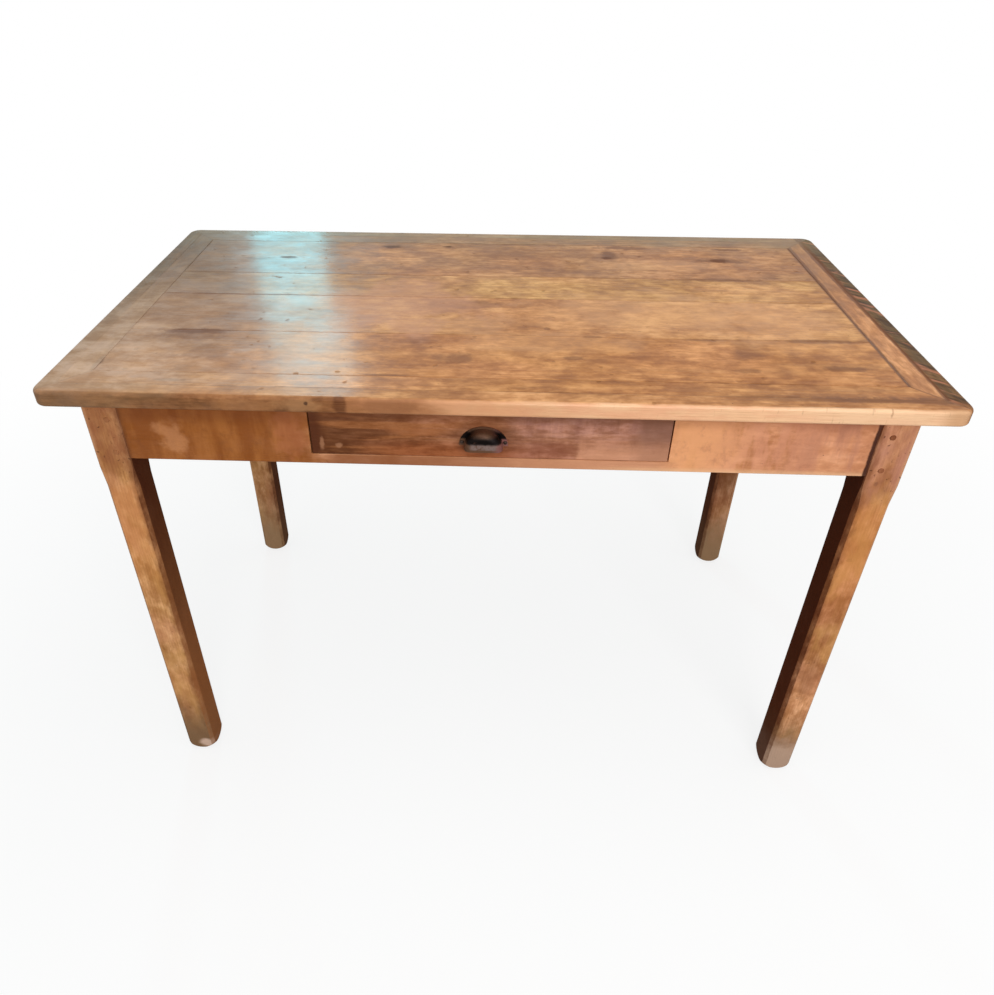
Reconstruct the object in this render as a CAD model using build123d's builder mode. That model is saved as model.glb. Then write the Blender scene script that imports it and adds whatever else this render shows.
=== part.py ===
from build123d import *
import os

# Farmhouse table with one drawer. Lengths are in millimetres, +Z is up and +Y points
# to the back. The origin lies on the floor, under the centre of the top.

# Overall sizes
table_length = 1150.0
table_depth = 600.0
table_height = 750.0
top_thickness = 22.0
end_overhang = 49.0
side_overhang = 20.0

# Table top
lipping_width = 25.0
band_width = 32.0
corner_radius = 18.0
upper_rounding = 5.0
lower_rounding = 3.5
seam = 0.4
board_arris = 0.4
tongue_thickness = 7.0
tongue_length = 8.0
board_width_shares = (0.25, 0.26, 0.18, 0.31)

# Legs
leg_width = 46.0
leg_chamfer = 5.0
leg_arris = 1.2
chamfer_stop = 14.0
chamfer_runout = 34.0
foot_rounding = 20.0
foot_reach_share = 0.66

# Aprons and their tenons
apron_height = 92.0
apron_thickness = 22.0
apron_setback = 1.0
apron_arris = 1.5
tenon_thickness = 9.0
tenon_top_shoulder = 14.0
tenon_bottom_shoulder = 4.0
mortise_web = 1.5

# Pegs through the tenons
peg_diameter = 8.0
peg_inset = 17.0
peg_low_rise = 11.0
peg_high_drop = 30.0
peg_bite = 3.5
peg_proud = 0.9
peg_head_angle = 30.0

# Wooden buttons that hold the top down
button_width = 36.0
button_length = 38.0
button_thickness = 18.0
button_tongue_length = 8.0
button_tongue_thickness = 8.0
long_side_button_x = 360.0
short_side_button_x = 60.0
button_screw_share = 0.6
button_screw_radius = 2.0
button_screw_head_radius = 4.0
button_screw_bite = 12.0

# Drawer
drawer_width = 460.0
drawer_center_x = -5.0
drawer_front_thickness = 20.0
drawer_side_thickness = 11.0
drawer_back_thickness = 11.0
drawer_bottom_thickness = 6.0
drawer_bottom_rise = 8.0
drawer_groove_depth = 5.0
drawer_arris = 1.2
rail_height = 16.0
drawer_side_gap = 1.5
drawer_top_gap = 1.5
drawer_side_drop = 4.0
drawer_rear_space = 86.0
socket_lap = 6.0
front_tail_count = 3
rear_tail_count = 2
tail_narrow_share = 0.56
tail_wide_share = 0.78

# Nails that hold the drawer bottom up to the drawer back
nail_radius = 1.0
nail_head_radius = 2.4
nail_head_thickness = 0.8
nail_bite = 10.0
nail_count = 3

# Drawer runners and stops
runner_ledge_width = 24.0
runner_ledge_thickness = 14.0
runner_guide_width = 14.0
runner_guide_height = 24.0
runner_tenon_length = 7.0
runner_tenon_width = 22.0
runner_tenon_thickness = 8.0
stop_length = 26.0
stop_height = 14.0

# Cup pull and its screws
pull_center_x = -12.0
pull_drop = 4.2
hood_width = 50.0
hood_straight = 0.8
hood_depth = 18.0
hood_rounding = 9.0
hood_wall = 1.6
flange_width = 63.0
flange_rim = 2.4
flange_thickness = 1.6
pull_screw_rise = 5.0
pull_screw_radius = 1.4
pull_screw_head_radius = 2.6
pull_screw_head_height = 1.5
pull_screw_length = 13.0

# Fits
joint_clearance = 0.1
joint_relief = 0.5
glide = 0.3
cut_overrun = 2.0

# Levels and spans that follow from these sizes
frame_length = table_length - 2 * end_overhang
frame_depth = table_depth - 2 * side_overhang
frame_top = table_height - top_thickness
apron_bottom = frame_top - apron_height
rail_top = apron_bottom + rail_height
tenon_bottom = apron_bottom + tenon_bottom_shoulder
tenon_top = frame_top - tenon_top_shoulder
tenon_face = apron_setback + (apron_thickness - tenon_thickness) / 2
tenon_length = leg_width - tenon_face - tenon_thickness - mortise_web
apron_inner_face = apron_setback + apron_thickness
peg_heights = (apron_bottom + peg_low_rise, frame_top - peg_high_drop)
peg_depth = tenon_face + tenon_thickness + peg_bite
field_length = table_length - 2 * (lipping_width + band_width)
field_depth = table_depth - 2 * (lipping_width + band_width)

# Each side of the frame has a plane on the outer faces of its legs. Its first axis runs
# along that side, its second points up and its third points away from the table.
side_planes = {
    "front": Plane(origin=(0, -frame_depth / 2, 0), x_dir=(1, 0, 0), z_dir=(0, -1, 0)),
    "right": Plane(origin=(frame_length / 2, 0, 0), x_dir=(0, 1, 0), z_dir=(1, 0, 0)),
    "back": Plane(origin=(0, frame_depth / 2, 0), x_dir=(-1, 0, 0), z_dir=(0, 1, 0)),
    "left": Plane(origin=(-frame_length / 2, 0, 0), x_dir=(0, -1, 0), z_dir=(-1, 0, 0)),
}
side_spans = {"front": frame_length, "right": frame_depth, "back": frame_length, "left": frame_depth}
button_offsets = {
    "front": long_side_button_x,
    "right": short_side_button_x,
    "back": long_side_button_x,
    "left": short_side_button_x,
}

# Every leg stands where two sides meet, at one end of each.
leg_corners = {
    "front_left": {"front": -1, "left": 1},
    "front_right": {"front": 1, "right": -1},
    "back_right": {"right": 1, "back": -1},
    "back_left": {"back": 1, "left": -1},
}


def write(piece, name):
    """Labels a finished piece and writes it as its own file."""
    piece.label = name
    export_step(piece, f"parts/{name}.step")


def rectangle_on(plane, low, high):
    """A rectangle on a plane, between its low and its high corner."""
    with BuildSketch(plane) as outline:
        with Locations(((low[0] + high[0]) / 2, (low[1] + high[1]) / 2)):
            Rectangle(high[0] - low[0], high[1] - low[1])
    return outline.sketch


def circles_on(plane, places, radius):
    """Circles of one radius on a plane, one at each place."""
    with BuildSketch(plane) as outline:
        with Locations(*places):
            Circle(radius)
    return outline.sketch


def leg_face(side):
    """How far the inner faces of the legs lie from the middle of a side."""
    return side_spans[side] / 2 - leg_width


def peg_places(side, end):
    """The two peg centres in one end of a side, on that side's plane."""
    return [(end * (leg_face(side) + peg_inset), height) for height in peg_heights]


def square_section(height, chamfered):
    """The leg's square section with its four corners cut off."""
    with BuildSketch(Plane.XY.offset(height)) as section:
        Rectangle(leg_width, leg_width)
        chamfer(section.vertices(), length=chamfered)
    return section.sketch


def make_leg(corner, ends):
    """A square leg whose corners are cut off below the aprons, down to a foot worn round."""
    runout_top = apron_bottom - chamfer_stop
    runout_bottom = runout_top - chamfer_runout
    foot_reach = leg_width * foot_reach_share
    with BuildSketch(Plane.XZ) as foot_profile:
        Rectangle(foot_reach, runout_bottom, align=(Align.MIN, Align.MIN))
        fillet(foot_profile.vertices().sort_by(Axis.Y)[:2].sort_by(Axis.X)[-1], radius=foot_rounding)
    with BuildPart() as shaft:
        extrude(square_section(0, leg_chamfer), amount=runout_bottom)
        revolve(foot_profile.sketch, axis=Axis.Z, mode=Mode.INTERSECT)
        upper_section = square_section(runout_top, leg_arris)
        loft([square_section(runout_bottom, leg_chamfer), upper_section], ruled=True)
        extrude(upper_section, amount=frame_top - runout_top)
    x_end = 1 if "right" in corner else -1
    y_end = 1 if "back" in corner else -1
    center = (x_end * (frame_length - leg_width) / 2, y_end * (frame_depth - leg_width) / 2, 0)
    with BuildPart() as leg:
        with Locations(center):
            add(shaft.part)
        for side, end in ends.items():
            mortise_plane = side_planes[side].offset(joint_clearance - tenon_face)
            mouth = end * (leg_face(side) - cut_overrun)
            floor = end * (leg_face(side) + tenon_length + joint_relief)
            low = (min(mouth, floor), tenon_bottom - joint_clearance)
            high = (max(mouth, floor), tenon_top + joint_clearance)
            mortise = rectangle_on(mortise_plane, low, high)
            extrude(mortise, amount=-(tenon_thickness + 2 * joint_clearance), mode=Mode.SUBTRACT)
            peg_holes = circles_on(side_planes[side], peg_places(side, end), peg_diameter / 2)
            extrude(peg_holes, amount=-(peg_depth + joint_relief), mode=Mode.SUBTRACT)
    write(leg.part, f"leg_{corner}")


def make_apron(side):
    """A board between two legs, with a tenon at each end and slots for the buttons."""
    face_plane = side_planes[side].offset(-apron_setback)
    half = leg_face(side)
    with BuildPart() as apron:
        extrude(rectangle_on(face_plane, (-half, apron_bottom), (half, frame_top)), amount=-apron_thickness)
        long_edges = apron.faces().sort_by(Axis.Z)[0].edges().sort_by(SortBy.LENGTH)[-2:]
        chamfer(long_edges, length=apron_arris)

        tenon_end = half + tenon_length
        tenon_plane = side_planes[side].offset(-tenon_face)
        tenons = rectangle_on(tenon_plane, (-tenon_end, tenon_bottom), (tenon_end, tenon_top))
        extrude(tenons, amount=-tenon_thickness)
        both_ends = peg_places(side, -1) + peg_places(side, 1)
        peg_holes = circles_on(side_planes[side], both_ends, peg_diameter / 2)
        extrude(peg_holes, amount=-(peg_depth + joint_relief), mode=Mode.SUBTRACT)

        slot_plane = side_planes[side].offset(-apron_inner_face)
        slot_top = frame_top - button_thickness + button_tongue_thickness
        slot_bottom = frame_top - button_thickness - joint_relief
        slot_half = button_width / 2 + joint_relief
        slot_depth = button_tongue_length + joint_relief
        pocket_depth = runner_tenon_length + joint_relief
        for middle in (-button_offsets[side], button_offsets[side]):
            low = (middle - slot_half, slot_bottom)
            high = (middle + slot_half, slot_top)
            extrude(rectangle_on(slot_plane, low, high), amount=slot_depth, mode=Mode.SUBTRACT)

        if side in ("front", "back"):
            for end in (-1, 1):
                extrude(runner_pocket(side, end), amount=pocket_depth, mode=Mode.SUBTRACT)
        if side == "front":
            notch_half = drawer_width / 2 + drawer_side_gap
            low = (drawer_center_x - notch_half, rail_top)
            high = (drawer_center_x + notch_half, frame_top + cut_overrun)
            extrude(rectangle_on(face_plane, low, high), amount=-apron_thickness, mode=Mode.SUBTRACT)
    write(apron.part, f"apron_{side}")


def make_pegs():
    """Two round pegs through each tenon, left a little proud of the legs."""
    peg_radius = peg_diameter / 2 - joint_clearance
    with BuildPart() as pegs:
        for corner, ends in leg_corners.items():
            for side, end in ends.items():
                outline = circles_on(side_planes[side], peg_places(side, end), peg_radius)
                extrude(outline, amount=-peg_depth)
                extrude(outline, amount=peg_proud, taper=peg_head_angle)
    write(pegs.part, "tenon_pegs")


def mitre_wedge(side):
    """The share of the top that one side's strips fill, cut at the corners at 45 degrees."""
    front_left = (-table_length / 2, -table_depth / 2)
    front_right = (table_length / 2, -table_depth / 2)
    back_right = (table_length / 2, table_depth / 2)
    back_left = (-table_length / 2, table_depth / 2)
    left_meeting = (-(table_length - table_depth) / 2, 0)
    right_meeting = ((table_length - table_depth) / 2, 0)
    wedges = {
        "front": (front_left, front_right, right_meeting, left_meeting),
        "right": (front_right, back_right, right_meeting),
        "back": (back_right, back_left, left_meeting, right_meeting),
        "left": (back_left, front_left, left_meeting),
    }
    with BuildSketch(Plane.XY.offset(frame_top)) as wedge:
        with BuildLine():
            Polyline(*wedges[side], close=True)
        make_face()
    return wedge.sketch


def make_lipping(side):
    """The outer strip along one side of the top, with worn round edges."""
    with BuildPart() as lipping:
        with BuildSketch(Plane.XY.offset(frame_top)):
            RectangleRounded(table_length, table_depth, corner_radius)
            Rectangle(table_length - 2 * lipping_width, table_depth - 2 * lipping_width, mode=Mode.SUBTRACT)
        extrude(amount=top_thickness)
        fillet(lipping.faces().sort_by(Axis.Z)[-1].outer_wire().edges(), radius=upper_rounding)
        fillet(lipping.faces().sort_by(Axis.Z)[0].outer_wire().edges(), radius=lower_rounding)
        extrude(mitre_wedge(side), amount=top_thickness, mode=Mode.INTERSECT)
    write(lipping.part, f"top_lipping_{side}")


def make_band(side):
    """The inner frame strip along one side of the top, grooved for the boards."""
    groove_reach = 2 * (tongue_length + joint_relief)
    groove_thickness = tongue_thickness + 2 * joint_clearance
    with BuildPart() as band:
        with BuildSketch(Plane.XY.offset(frame_top)):
            Rectangle(table_length - 2 * lipping_width, table_depth - 2 * lipping_width)
            Rectangle(field_length, field_depth, mode=Mode.SUBTRACT)
        extrude(amount=top_thickness)
        inner_edges = band.faces().sort_by(Axis.Z)[-1].inner_wires()[0].edges()
        chamfer(inner_edges, length=board_arris)
        with BuildSketch(Plane.XY.offset(frame_top + (top_thickness - groove_thickness) / 2)):
            Rectangle(field_length + groove_reach, field_depth + groove_reach)
        extrude(amount=groove_thickness, mode=Mode.SUBTRACT)
        extrude(mitre_wedge(side), amount=top_thickness, mode=Mode.INTERSECT)
    write(band.part, f"top_band_{side}")


def button_screw_places():
    """Where the button screws go up into the top, seen from above."""
    inward = apron_inner_face + button_screw_share * button_length
    places = []
    for side, offset_along in button_offsets.items():
        for along in (-offset_along, offset_along):
            point = side_planes[side].from_local_coords((along, 0, -inward))
            places.append((point.X, point.Y))
    return places


def make_board(number, name):
    """One board of the top, tongued at its ends and its back edge, grooved in front."""
    front_edge = -field_depth / 2 + sum(board_width_shares[:number]) * field_depth
    back_edge = front_edge + board_width_shares[number] * field_depth
    body_half = (field_length - seam) / 2
    tongue_half = field_length / 2 + tongue_length
    tongue_level = frame_top + (top_thickness - tongue_thickness) / 2
    body_front = front_edge + seam / 2
    body_back = back_edge - seam / 2
    tongue_front = body_front if number else front_edge - tongue_length
    with BuildPart() as board:
        body = rectangle_on(Plane.XY.offset(frame_top), (-body_half, body_front), (body_half, body_back))
        extrude(body, amount=top_thickness)
        chamfer(board.faces().sort_by(Axis.Z)[-1].edges(), length=board_arris)
        tongue_plane = Plane.XY.offset(tongue_level)
        tongue_back = back_edge + tongue_length
        tongues = rectangle_on(tongue_plane, (-tongue_half, tongue_front), (tongue_half, tongue_back))
        extrude(tongues, amount=tongue_thickness)
        if number:
            groove_floor = front_edge + tongue_length + joint_relief
            groove_end = tongue_half + cut_overrun
            low = (-groove_end, front_edge - cut_overrun)
            groove = rectangle_on(tongue_plane.offset(-joint_clearance), low, (groove_end, groove_floor))
            extrude(groove, amount=tongue_thickness + 2 * joint_clearance, mode=Mode.SUBTRACT)
        hole_radius = button_screw_radius + joint_clearance
        screw_holes = circles_on(Plane.XY.offset(frame_top), button_screw_places(), hole_radius)
        extrude(screw_holes, amount=button_screw_bite + joint_relief, mode=Mode.SUBTRACT)
    write(board.part, name)


def make_buttons():
    """Wooden buttons, screwed under the top, each with a tongue in an apron's slot."""
    button_bottom = frame_top - button_thickness
    screw_places = button_screw_places()
    with BuildPart() as buttons:
        for side, offset_along in button_offsets.items():
            inner_plane = side_planes[side].offset(-apron_inner_face)
            for middle in (-offset_along, offset_along):
                left = middle - button_width / 2
                right = middle + button_width / 2
                body = rectangle_on(inner_plane, (left, button_bottom), (right, frame_top))
                extrude(body, amount=-button_length)
                tongue_top = button_bottom + button_tongue_thickness
                tongue = rectangle_on(inner_plane, (left, button_bottom), (right, tongue_top))
                extrude(tongue, amount=button_tongue_length)
        undersides = [Plane(origin=(x, y, button_bottom), z_dir=(0, 0, -1)) for x, y in screw_places]
        with Locations(*undersides):
            CounterSinkHole(
                radius=button_screw_radius + joint_clearance,
                counter_sink_radius=button_screw_head_radius + joint_clearance,
                depth=button_thickness,
                counter_sink_angle=90,
            )
    write(buttons.part, "top_buttons")


def make_button_screws():
    """Countersunk screws, one up through each button into the top."""
    button_bottom = frame_top - button_thickness
    head_height = button_screw_head_radius - button_screw_radius
    with BuildPart() as screws:
        heads = circles_on(Plane.XY.offset(button_bottom), button_screw_places(), button_screw_head_radius)
        extrude(heads, amount=head_height, taper=45)
        shanks = circles_on(Plane.XY.offset(button_bottom), button_screw_places(), button_screw_radius)
        extrude(shanks, amount=button_thickness + button_screw_bite)
    write(screws.part, "button_screws")


# Drawer levels and faces that several of its boards share
drawer_face = -frame_depth / 2 + apron_setback
drawer_rear = frame_depth / 2 - apron_inner_face - drawer_rear_space
drawer_low = rail_top + glide
drawer_high = frame_top - drawer_top_gap
drawer_side_top = drawer_high - drawer_side_drop
front_rear_face = drawer_face + drawer_front_thickness
back_front_face = drawer_rear - drawer_back_thickness
panel_bottom = drawer_low + drawer_bottom_rise
panel_top = panel_bottom + drawer_bottom_thickness
back_low = panel_top + joint_clearance
inner_half_width = drawer_width / 2 - drawer_side_thickness


def tails(x_end, root, tip, low, high, count, clearance):
    """Dovetail tails on one side of the drawer, wider at the tip than at the root."""
    pitch = (high - low) / count
    reach = clearance if tip > root else -clearance
    with BuildSketch(Plane.YZ.offset(drawer_center_x + x_end * drawer_width / 2)) as outline:
        for number in range(count):
            middle = low + (number + 0.5) * pitch
            narrow = tail_narrow_share * pitch / 2 + clearance
            wide = tail_wide_share * pitch / 2 + clearance
            with BuildLine():
                Polyline(
                    (root, middle - narrow),
                    (tip + reach, middle - wide),
                    (tip + reach, middle + wide),
                    (root, middle + narrow),
                    close=True,
                )
            make_face()
    return outline.sketch


def front_tails(x_end, clearance):
    """The lapped tails that hold the drawer front."""
    tip = drawer_face + socket_lap
    return tails(x_end, front_rear_face, tip, drawer_low, drawer_side_top, front_tail_count, clearance)


def rear_tails(x_end, clearance):
    """The through tails that hold the drawer back."""
    return tails(x_end, back_front_face, drawer_rear, back_low, drawer_side_top, rear_tail_count, clearance)


def panel_outline(height, clearance):
    """The drawer bottom as it sits in its grooves, seen from above."""
    half = inner_half_width + drawer_groove_depth + clearance
    front = front_rear_face - drawer_groove_depth - clearance
    low = (drawer_center_x - half, front)
    return rectangle_on(Plane.XY.offset(height), low, (drawer_center_x + half, drawer_rear + clearance))


def cut_panel_groove():
    """Cuts the groove for the drawer bottom into the board being made."""
    groove = panel_outline(panel_bottom - joint_clearance, joint_clearance)
    extrude(groove, amount=drawer_bottom_thickness + 2 * joint_clearance, mode=Mode.SUBTRACT)


def make_drawer_front():
    """The drawer front, with blind sockets for the side boards' tails."""
    face_plane = side_planes["front"].offset(-apron_setback)
    low = (drawer_center_x - drawer_width / 2, drawer_low)
    high = (drawer_center_x + drawer_width / 2, drawer_high)
    with BuildPart() as front:
        extrude(rectangle_on(face_plane, low, high), amount=-drawer_front_thickness)
        fillet(front.faces().sort_by(Axis.Y)[0].edges(), radius=drawer_arris)
        for x_end in (-1, 1):
            depth = -x_end * (drawer_side_thickness + joint_clearance)
            extrude(front_tails(x_end, joint_clearance), amount=depth, mode=Mode.SUBTRACT)
        cut_panel_groove()
        screw_holes = circles_on(face_plane, pull_screw_places(), pull_screw_radius + joint_clearance)
        extrude(screw_holes, amount=-(pull_screw_length + joint_relief), mode=Mode.SUBTRACT)
    write(front.part, "drawer_front")


def make_drawer_side(x_end, name):
    """A drawer side, with lapped tails in front, through tails behind and a groove."""
    side_plane = Plane.YZ.offset(drawer_center_x + x_end * drawer_width / 2)
    inward = -x_end * drawer_side_thickness
    with BuildPart() as side:
        body = rectangle_on(side_plane, (front_rear_face, drawer_low), (back_front_face, drawer_side_top))
        extrude(body, amount=inward)
        heel = rectangle_on(side_plane, (back_front_face, drawer_low), (drawer_rear, panel_top))
        extrude(heel, amount=inward)
        extrude(front_tails(x_end, 0), amount=inward)
        extrude(rear_tails(x_end, 0), amount=inward)
        cut_panel_groove()
    write(side.part, name)


def make_drawer_back():
    """The drawer back, which stands on the bottom board and takes the rear tails."""
    back_plane = Plane.XZ.offset(-drawer_rear)
    low = (drawer_center_x - drawer_width / 2, back_low)
    high = (drawer_center_x + drawer_width / 2, drawer_side_top)
    with BuildPart() as back:
        extrude(rectangle_on(back_plane, low, high), amount=drawer_back_thickness)
        for x_end in (-1, 1):
            depth = -x_end * (drawer_side_thickness + joint_clearance)
            extrude(rear_tails(x_end, joint_clearance), amount=depth, mode=Mode.SUBTRACT)
        nail_holes = circles_on(Plane.XY.offset(back_low), nail_places(), nail_radius + joint_clearance)
        extrude(nail_holes, amount=nail_bite, mode=Mode.SUBTRACT)
    write(back.part, "drawer_back")


def nail_places():
    """Where the nails go up through the drawer bottom into the drawer back."""
    step = 2 * inner_half_width / nail_count
    first = drawer_center_x - inner_half_width + step / 2
    depth_middle = drawer_rear - drawer_back_thickness / 2
    return [(first + number * step, depth_middle) for number in range(nail_count)]


def make_drawer_bottom():
    """The thin bottom board, slid in from behind under the drawer back."""
    with BuildPart() as bottom:
        extrude(panel_outline(panel_bottom, 0), amount=drawer_bottom_thickness)
        nail_holes = circles_on(Plane.XY.offset(panel_bottom), nail_places(), nail_radius + joint_clearance)
        extrude(nail_holes, amount=drawer_bottom_thickness, mode=Mode.SUBTRACT)
    write(bottom.part, "drawer_bottom")


def make_nails():
    """Flat-headed nails under the drawer bottom."""
    with BuildPart() as nails:
        head_plane = Plane.XY.offset(panel_bottom)
        heads = circles_on(head_plane, nail_places(), nail_head_radius)
        extrude(heads, amount=-nail_head_thickness)
        shanks = circles_on(head_plane, nail_places(), nail_radius)
        extrude(shanks, amount=drawer_bottom_thickness + nail_bite)
    write(nails.part, "drawer_bottom_nails")


# Cup pull, drawn on the drawer's outer face
pull_plane = side_planes["front"].offset(-apron_setback)
hood_height = hood_straight + hood_width / 2
pull_bottom = (drawer_low + drawer_high - hood_height) / 2 - pull_drop


def pull_screw_places():
    """The screw centres, in the two wide ends of the pull's flange."""
    reach = hood_width / 2 + pull_screw_head_radius + joint_relief / 2
    height = pull_bottom + pull_screw_rise
    return [(pull_center_x - reach, height), (pull_center_x + reach, height)]


def arch(inset):
    """The hood's arched outline: short straight sides that carry a half circle."""
    half = hood_width / 2 - inset
    spring = pull_bottom + hood_straight
    with BuildSketch(pull_plane) as outline:
        with BuildLine():
            Line((pull_center_x + half, spring), (pull_center_x + half, pull_bottom))
            Line((pull_center_x + half, pull_bottom), (pull_center_x - half, pull_bottom))
            Line((pull_center_x - half, pull_bottom), (pull_center_x - half, spring))
            CenterArc((pull_center_x, spring), half, 0, 180)
        make_face()
    return outline.sketch


def flange_outline():
    """The flat flange behind the hood: half an ellipse, wider at its two ends."""
    rise = hood_height + flange_rim
    with BuildSketch(pull_plane) as outline:
        with Locations((pull_center_x, pull_bottom)):
            Ellipse(flange_width / 2, rise)
            Rectangle(flange_width, rise, align=(Align.CENTER, Align.MAX), mode=Mode.SUBTRACT)
        with Locations(*pull_screw_places()):
            Circle(pull_screw_radius + joint_clearance, mode=Mode.SUBTRACT)
        add(arch(hood_wall), mode=Mode.SUBTRACT)
    return outline.sketch


def make_pull():
    """A stamped cup pull: a hollow hood, open below, on a thin half-oval flange."""
    with BuildPart() as pull:
        extrude(arch(0), amount=hood_depth)
        outer_edges = pull.faces().sort_by(Axis.Y)[0].edges().filter_by(Axis.X, reverse=True)
        fillet(outer_edges, radius=hood_rounding)
        open_faces = [pull.faces().sort_by(Axis.Z)[0], pull.faces().sort_by(Axis.Y)[-1]]
        offset(amount=-hood_wall, openings=open_faces)
        extrude(flange_outline(), amount=flange_thickness)
    write(pull.part, "drawer_pull")


def make_pull_screws():
    """Round-headed screws through the ears of the pull."""
    with BuildPart() as screws:
        head_plane = pull_plane.offset(flange_thickness)
        heads = circles_on(head_plane, pull_screw_places(), pull_screw_head_radius)
        extrude(heads, amount=pull_screw_head_height)
        outer_edges = screws.faces().filter_by(Axis.Y).group_by(Axis.Y)[0].edges()
        fillet(outer_edges, radius=pull_screw_head_height - joint_clearance)
        shanks = circles_on(head_plane, pull_screw_places(), pull_screw_radius)
        extrude(shanks, amount=-(flange_thickness + pull_screw_length))
    write(screws.part, "pull_screws")


# Runners: each has a ledge that reaches under the drawer and on under its guide
runner_reach = runner_ledge_width + runner_guide_width
runner_tenon_middle = rail_top - runner_ledge_thickness / 2


def guide_face(end):
    """The x of the face of a runner's guide that the drawer side slides along."""
    return drawer_center_x + end * (drawer_width / 2 + drawer_side_gap)


def runner_middle(end):
    """The x of the middle of a runner, which is also the middle of its tenons."""
    return guide_face(end) + end * (runner_guide_width - runner_reach / 2)


def runner_pocket(side, end):
    """The pocket for a runner's stub tenon, in the inner face of an apron."""
    pocket_plane = side_planes[side].offset(-apron_inner_face)
    middle = runner_middle(end) * (1 if side == "front" else -1)
    half_width = runner_tenon_width / 2 + joint_clearance
    half_height = runner_tenon_thickness / 2 + joint_clearance
    low = (middle - half_width, runner_tenon_middle - half_height)
    return rectangle_on(pocket_plane, low, (middle + half_width, runner_tenon_middle + half_height))


def make_runner(end, name):
    """An L-shaped runner that carries and guides one drawer side."""
    runner_front = -frame_depth / 2 + apron_inner_face
    runner_length = frame_depth - 2 * apron_inner_face
    ledge_bottom = rail_top - runner_ledge_thickness
    middle = runner_middle(end)
    inner = guide_face(end)
    outer = inner + end * runner_guide_width
    with BuildPart() as runner:
        front_plane = Plane.XZ.offset(-runner_front)
        ledge_low = (middle - runner_reach / 2, ledge_bottom)
        ledge = rectangle_on(front_plane, ledge_low, (middle + runner_reach / 2, rail_top))
        extrude(ledge, amount=-runner_length)
        guide_low = (min(inner, outer), ledge_bottom)
        guide = rectangle_on(front_plane, guide_low, (max(inner, outer), rail_top + runner_guide_height))
        extrude(guide, amount=-runner_length)
        tenon_low = (middle - runner_tenon_width / 2, runner_tenon_middle - runner_tenon_thickness / 2)
        tenon_high = (middle + runner_tenon_width / 2, runner_tenon_middle + runner_tenon_thickness / 2)
        tenons = rectangle_on(front_plane.offset(runner_tenon_length), tenon_low, tenon_high)
        extrude(tenons, amount=-(runner_length + 2 * runner_tenon_length))
    write(runner.part, name)


def make_stops():
    """A small block on each runner, which the closed drawer comes up against."""
    front = drawer_rear + glide
    with BuildPart() as stops:
        for end in (-1, 1):
            outer = guide_face(end)
            inner = outer - end * runner_ledge_width
            low = (min(inner, outer), front)
            high = (max(inner, outer), front + stop_length)
            extrude(rectangle_on(Plane.XY.offset(rail_top), low, high), amount=stop_height)
    write(stops.part, "drawer_stops")


os.makedirs("parts", exist_ok=True)
for corner, ends in leg_corners.items():
    make_leg(corner, ends)
for side in side_planes:
    make_apron(side)
    make_lipping(side)
    make_band(side)
make_pegs()
board_names = ("top_board_front", "top_board_mid_front", "top_board_mid_back", "top_board_back")
for number, name in enumerate(board_names):
    make_board(number, name)
make_buttons()
make_button_screws()
make_drawer_front()
make_drawer_side(-1, "drawer_side_left")
make_drawer_side(1, "drawer_side_right")
make_drawer_back()
make_drawer_bottom()
make_nails()
make_pull()
make_pull_screws()
make_runner(-1, "drawer_runner_left")
make_runner(1, "drawer_runner_right")
make_stops()
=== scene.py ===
import math

import bpy
from bpy.props import FloatProperty, FloatVectorProperty, PointerProperty
from mathutils import Matrix, Vector


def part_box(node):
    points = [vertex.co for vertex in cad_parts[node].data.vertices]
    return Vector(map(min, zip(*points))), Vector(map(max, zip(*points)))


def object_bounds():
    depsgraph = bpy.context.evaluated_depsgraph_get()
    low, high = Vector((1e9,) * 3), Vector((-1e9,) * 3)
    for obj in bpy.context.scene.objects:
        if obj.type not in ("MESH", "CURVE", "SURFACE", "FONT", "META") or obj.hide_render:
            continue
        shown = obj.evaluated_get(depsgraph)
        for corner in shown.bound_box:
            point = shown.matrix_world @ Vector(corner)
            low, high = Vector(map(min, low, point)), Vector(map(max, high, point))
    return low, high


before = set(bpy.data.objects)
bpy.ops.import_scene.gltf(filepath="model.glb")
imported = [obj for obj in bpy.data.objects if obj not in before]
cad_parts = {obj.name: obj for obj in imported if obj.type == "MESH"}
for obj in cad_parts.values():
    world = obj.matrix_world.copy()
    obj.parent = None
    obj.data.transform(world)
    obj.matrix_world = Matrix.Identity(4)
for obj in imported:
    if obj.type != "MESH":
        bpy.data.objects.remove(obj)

bl_info = {
    "name": "Farmhouse Table Dresser",
    "version": (1, 0, 0),
    "blender": (4, 5, 0),
    "location": "3D View > Sidebar > Table",
    "description": "Dresses the packed farmhouse table in old waxed pine and blackened iron",
    "category": "Material",
}

CAD_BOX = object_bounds()
# Places on the table in metres: the top's upper face and front edge, the frame's front face,
# and the ends of the top's boards and of its inner strips
TOP_LEVEL = 0.75
TOP_FRONT = -0.3
FRAME_FRONT = -0.28
BOARDS_END = 0.518
STRIPS_END = 0.55
# Place and reach, along and across, of the dash at the top's front left corner
CORNER_DASH = ((-0.52, -0.222), (0.006, 0.024))
# How far behind the table the window stands, whose glare lies on the top
WINDOW_PLANE = 2.64
RENDER_WIDTH = 994
RENDER_HEIGHT = 995

# Which object axes run along the grain, across the board's face and into its depth
ALONG_X_ON_TOP = (0, 1, 2)
ALONG_Y_ON_TOP = (1, 0, 2)
ALONG_X_UPRIGHT = (0, 2, 1)
ALONG_Y_UPRIGHT = (1, 2, 0)
ALONG_Z = (2, 0, 1)


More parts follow.
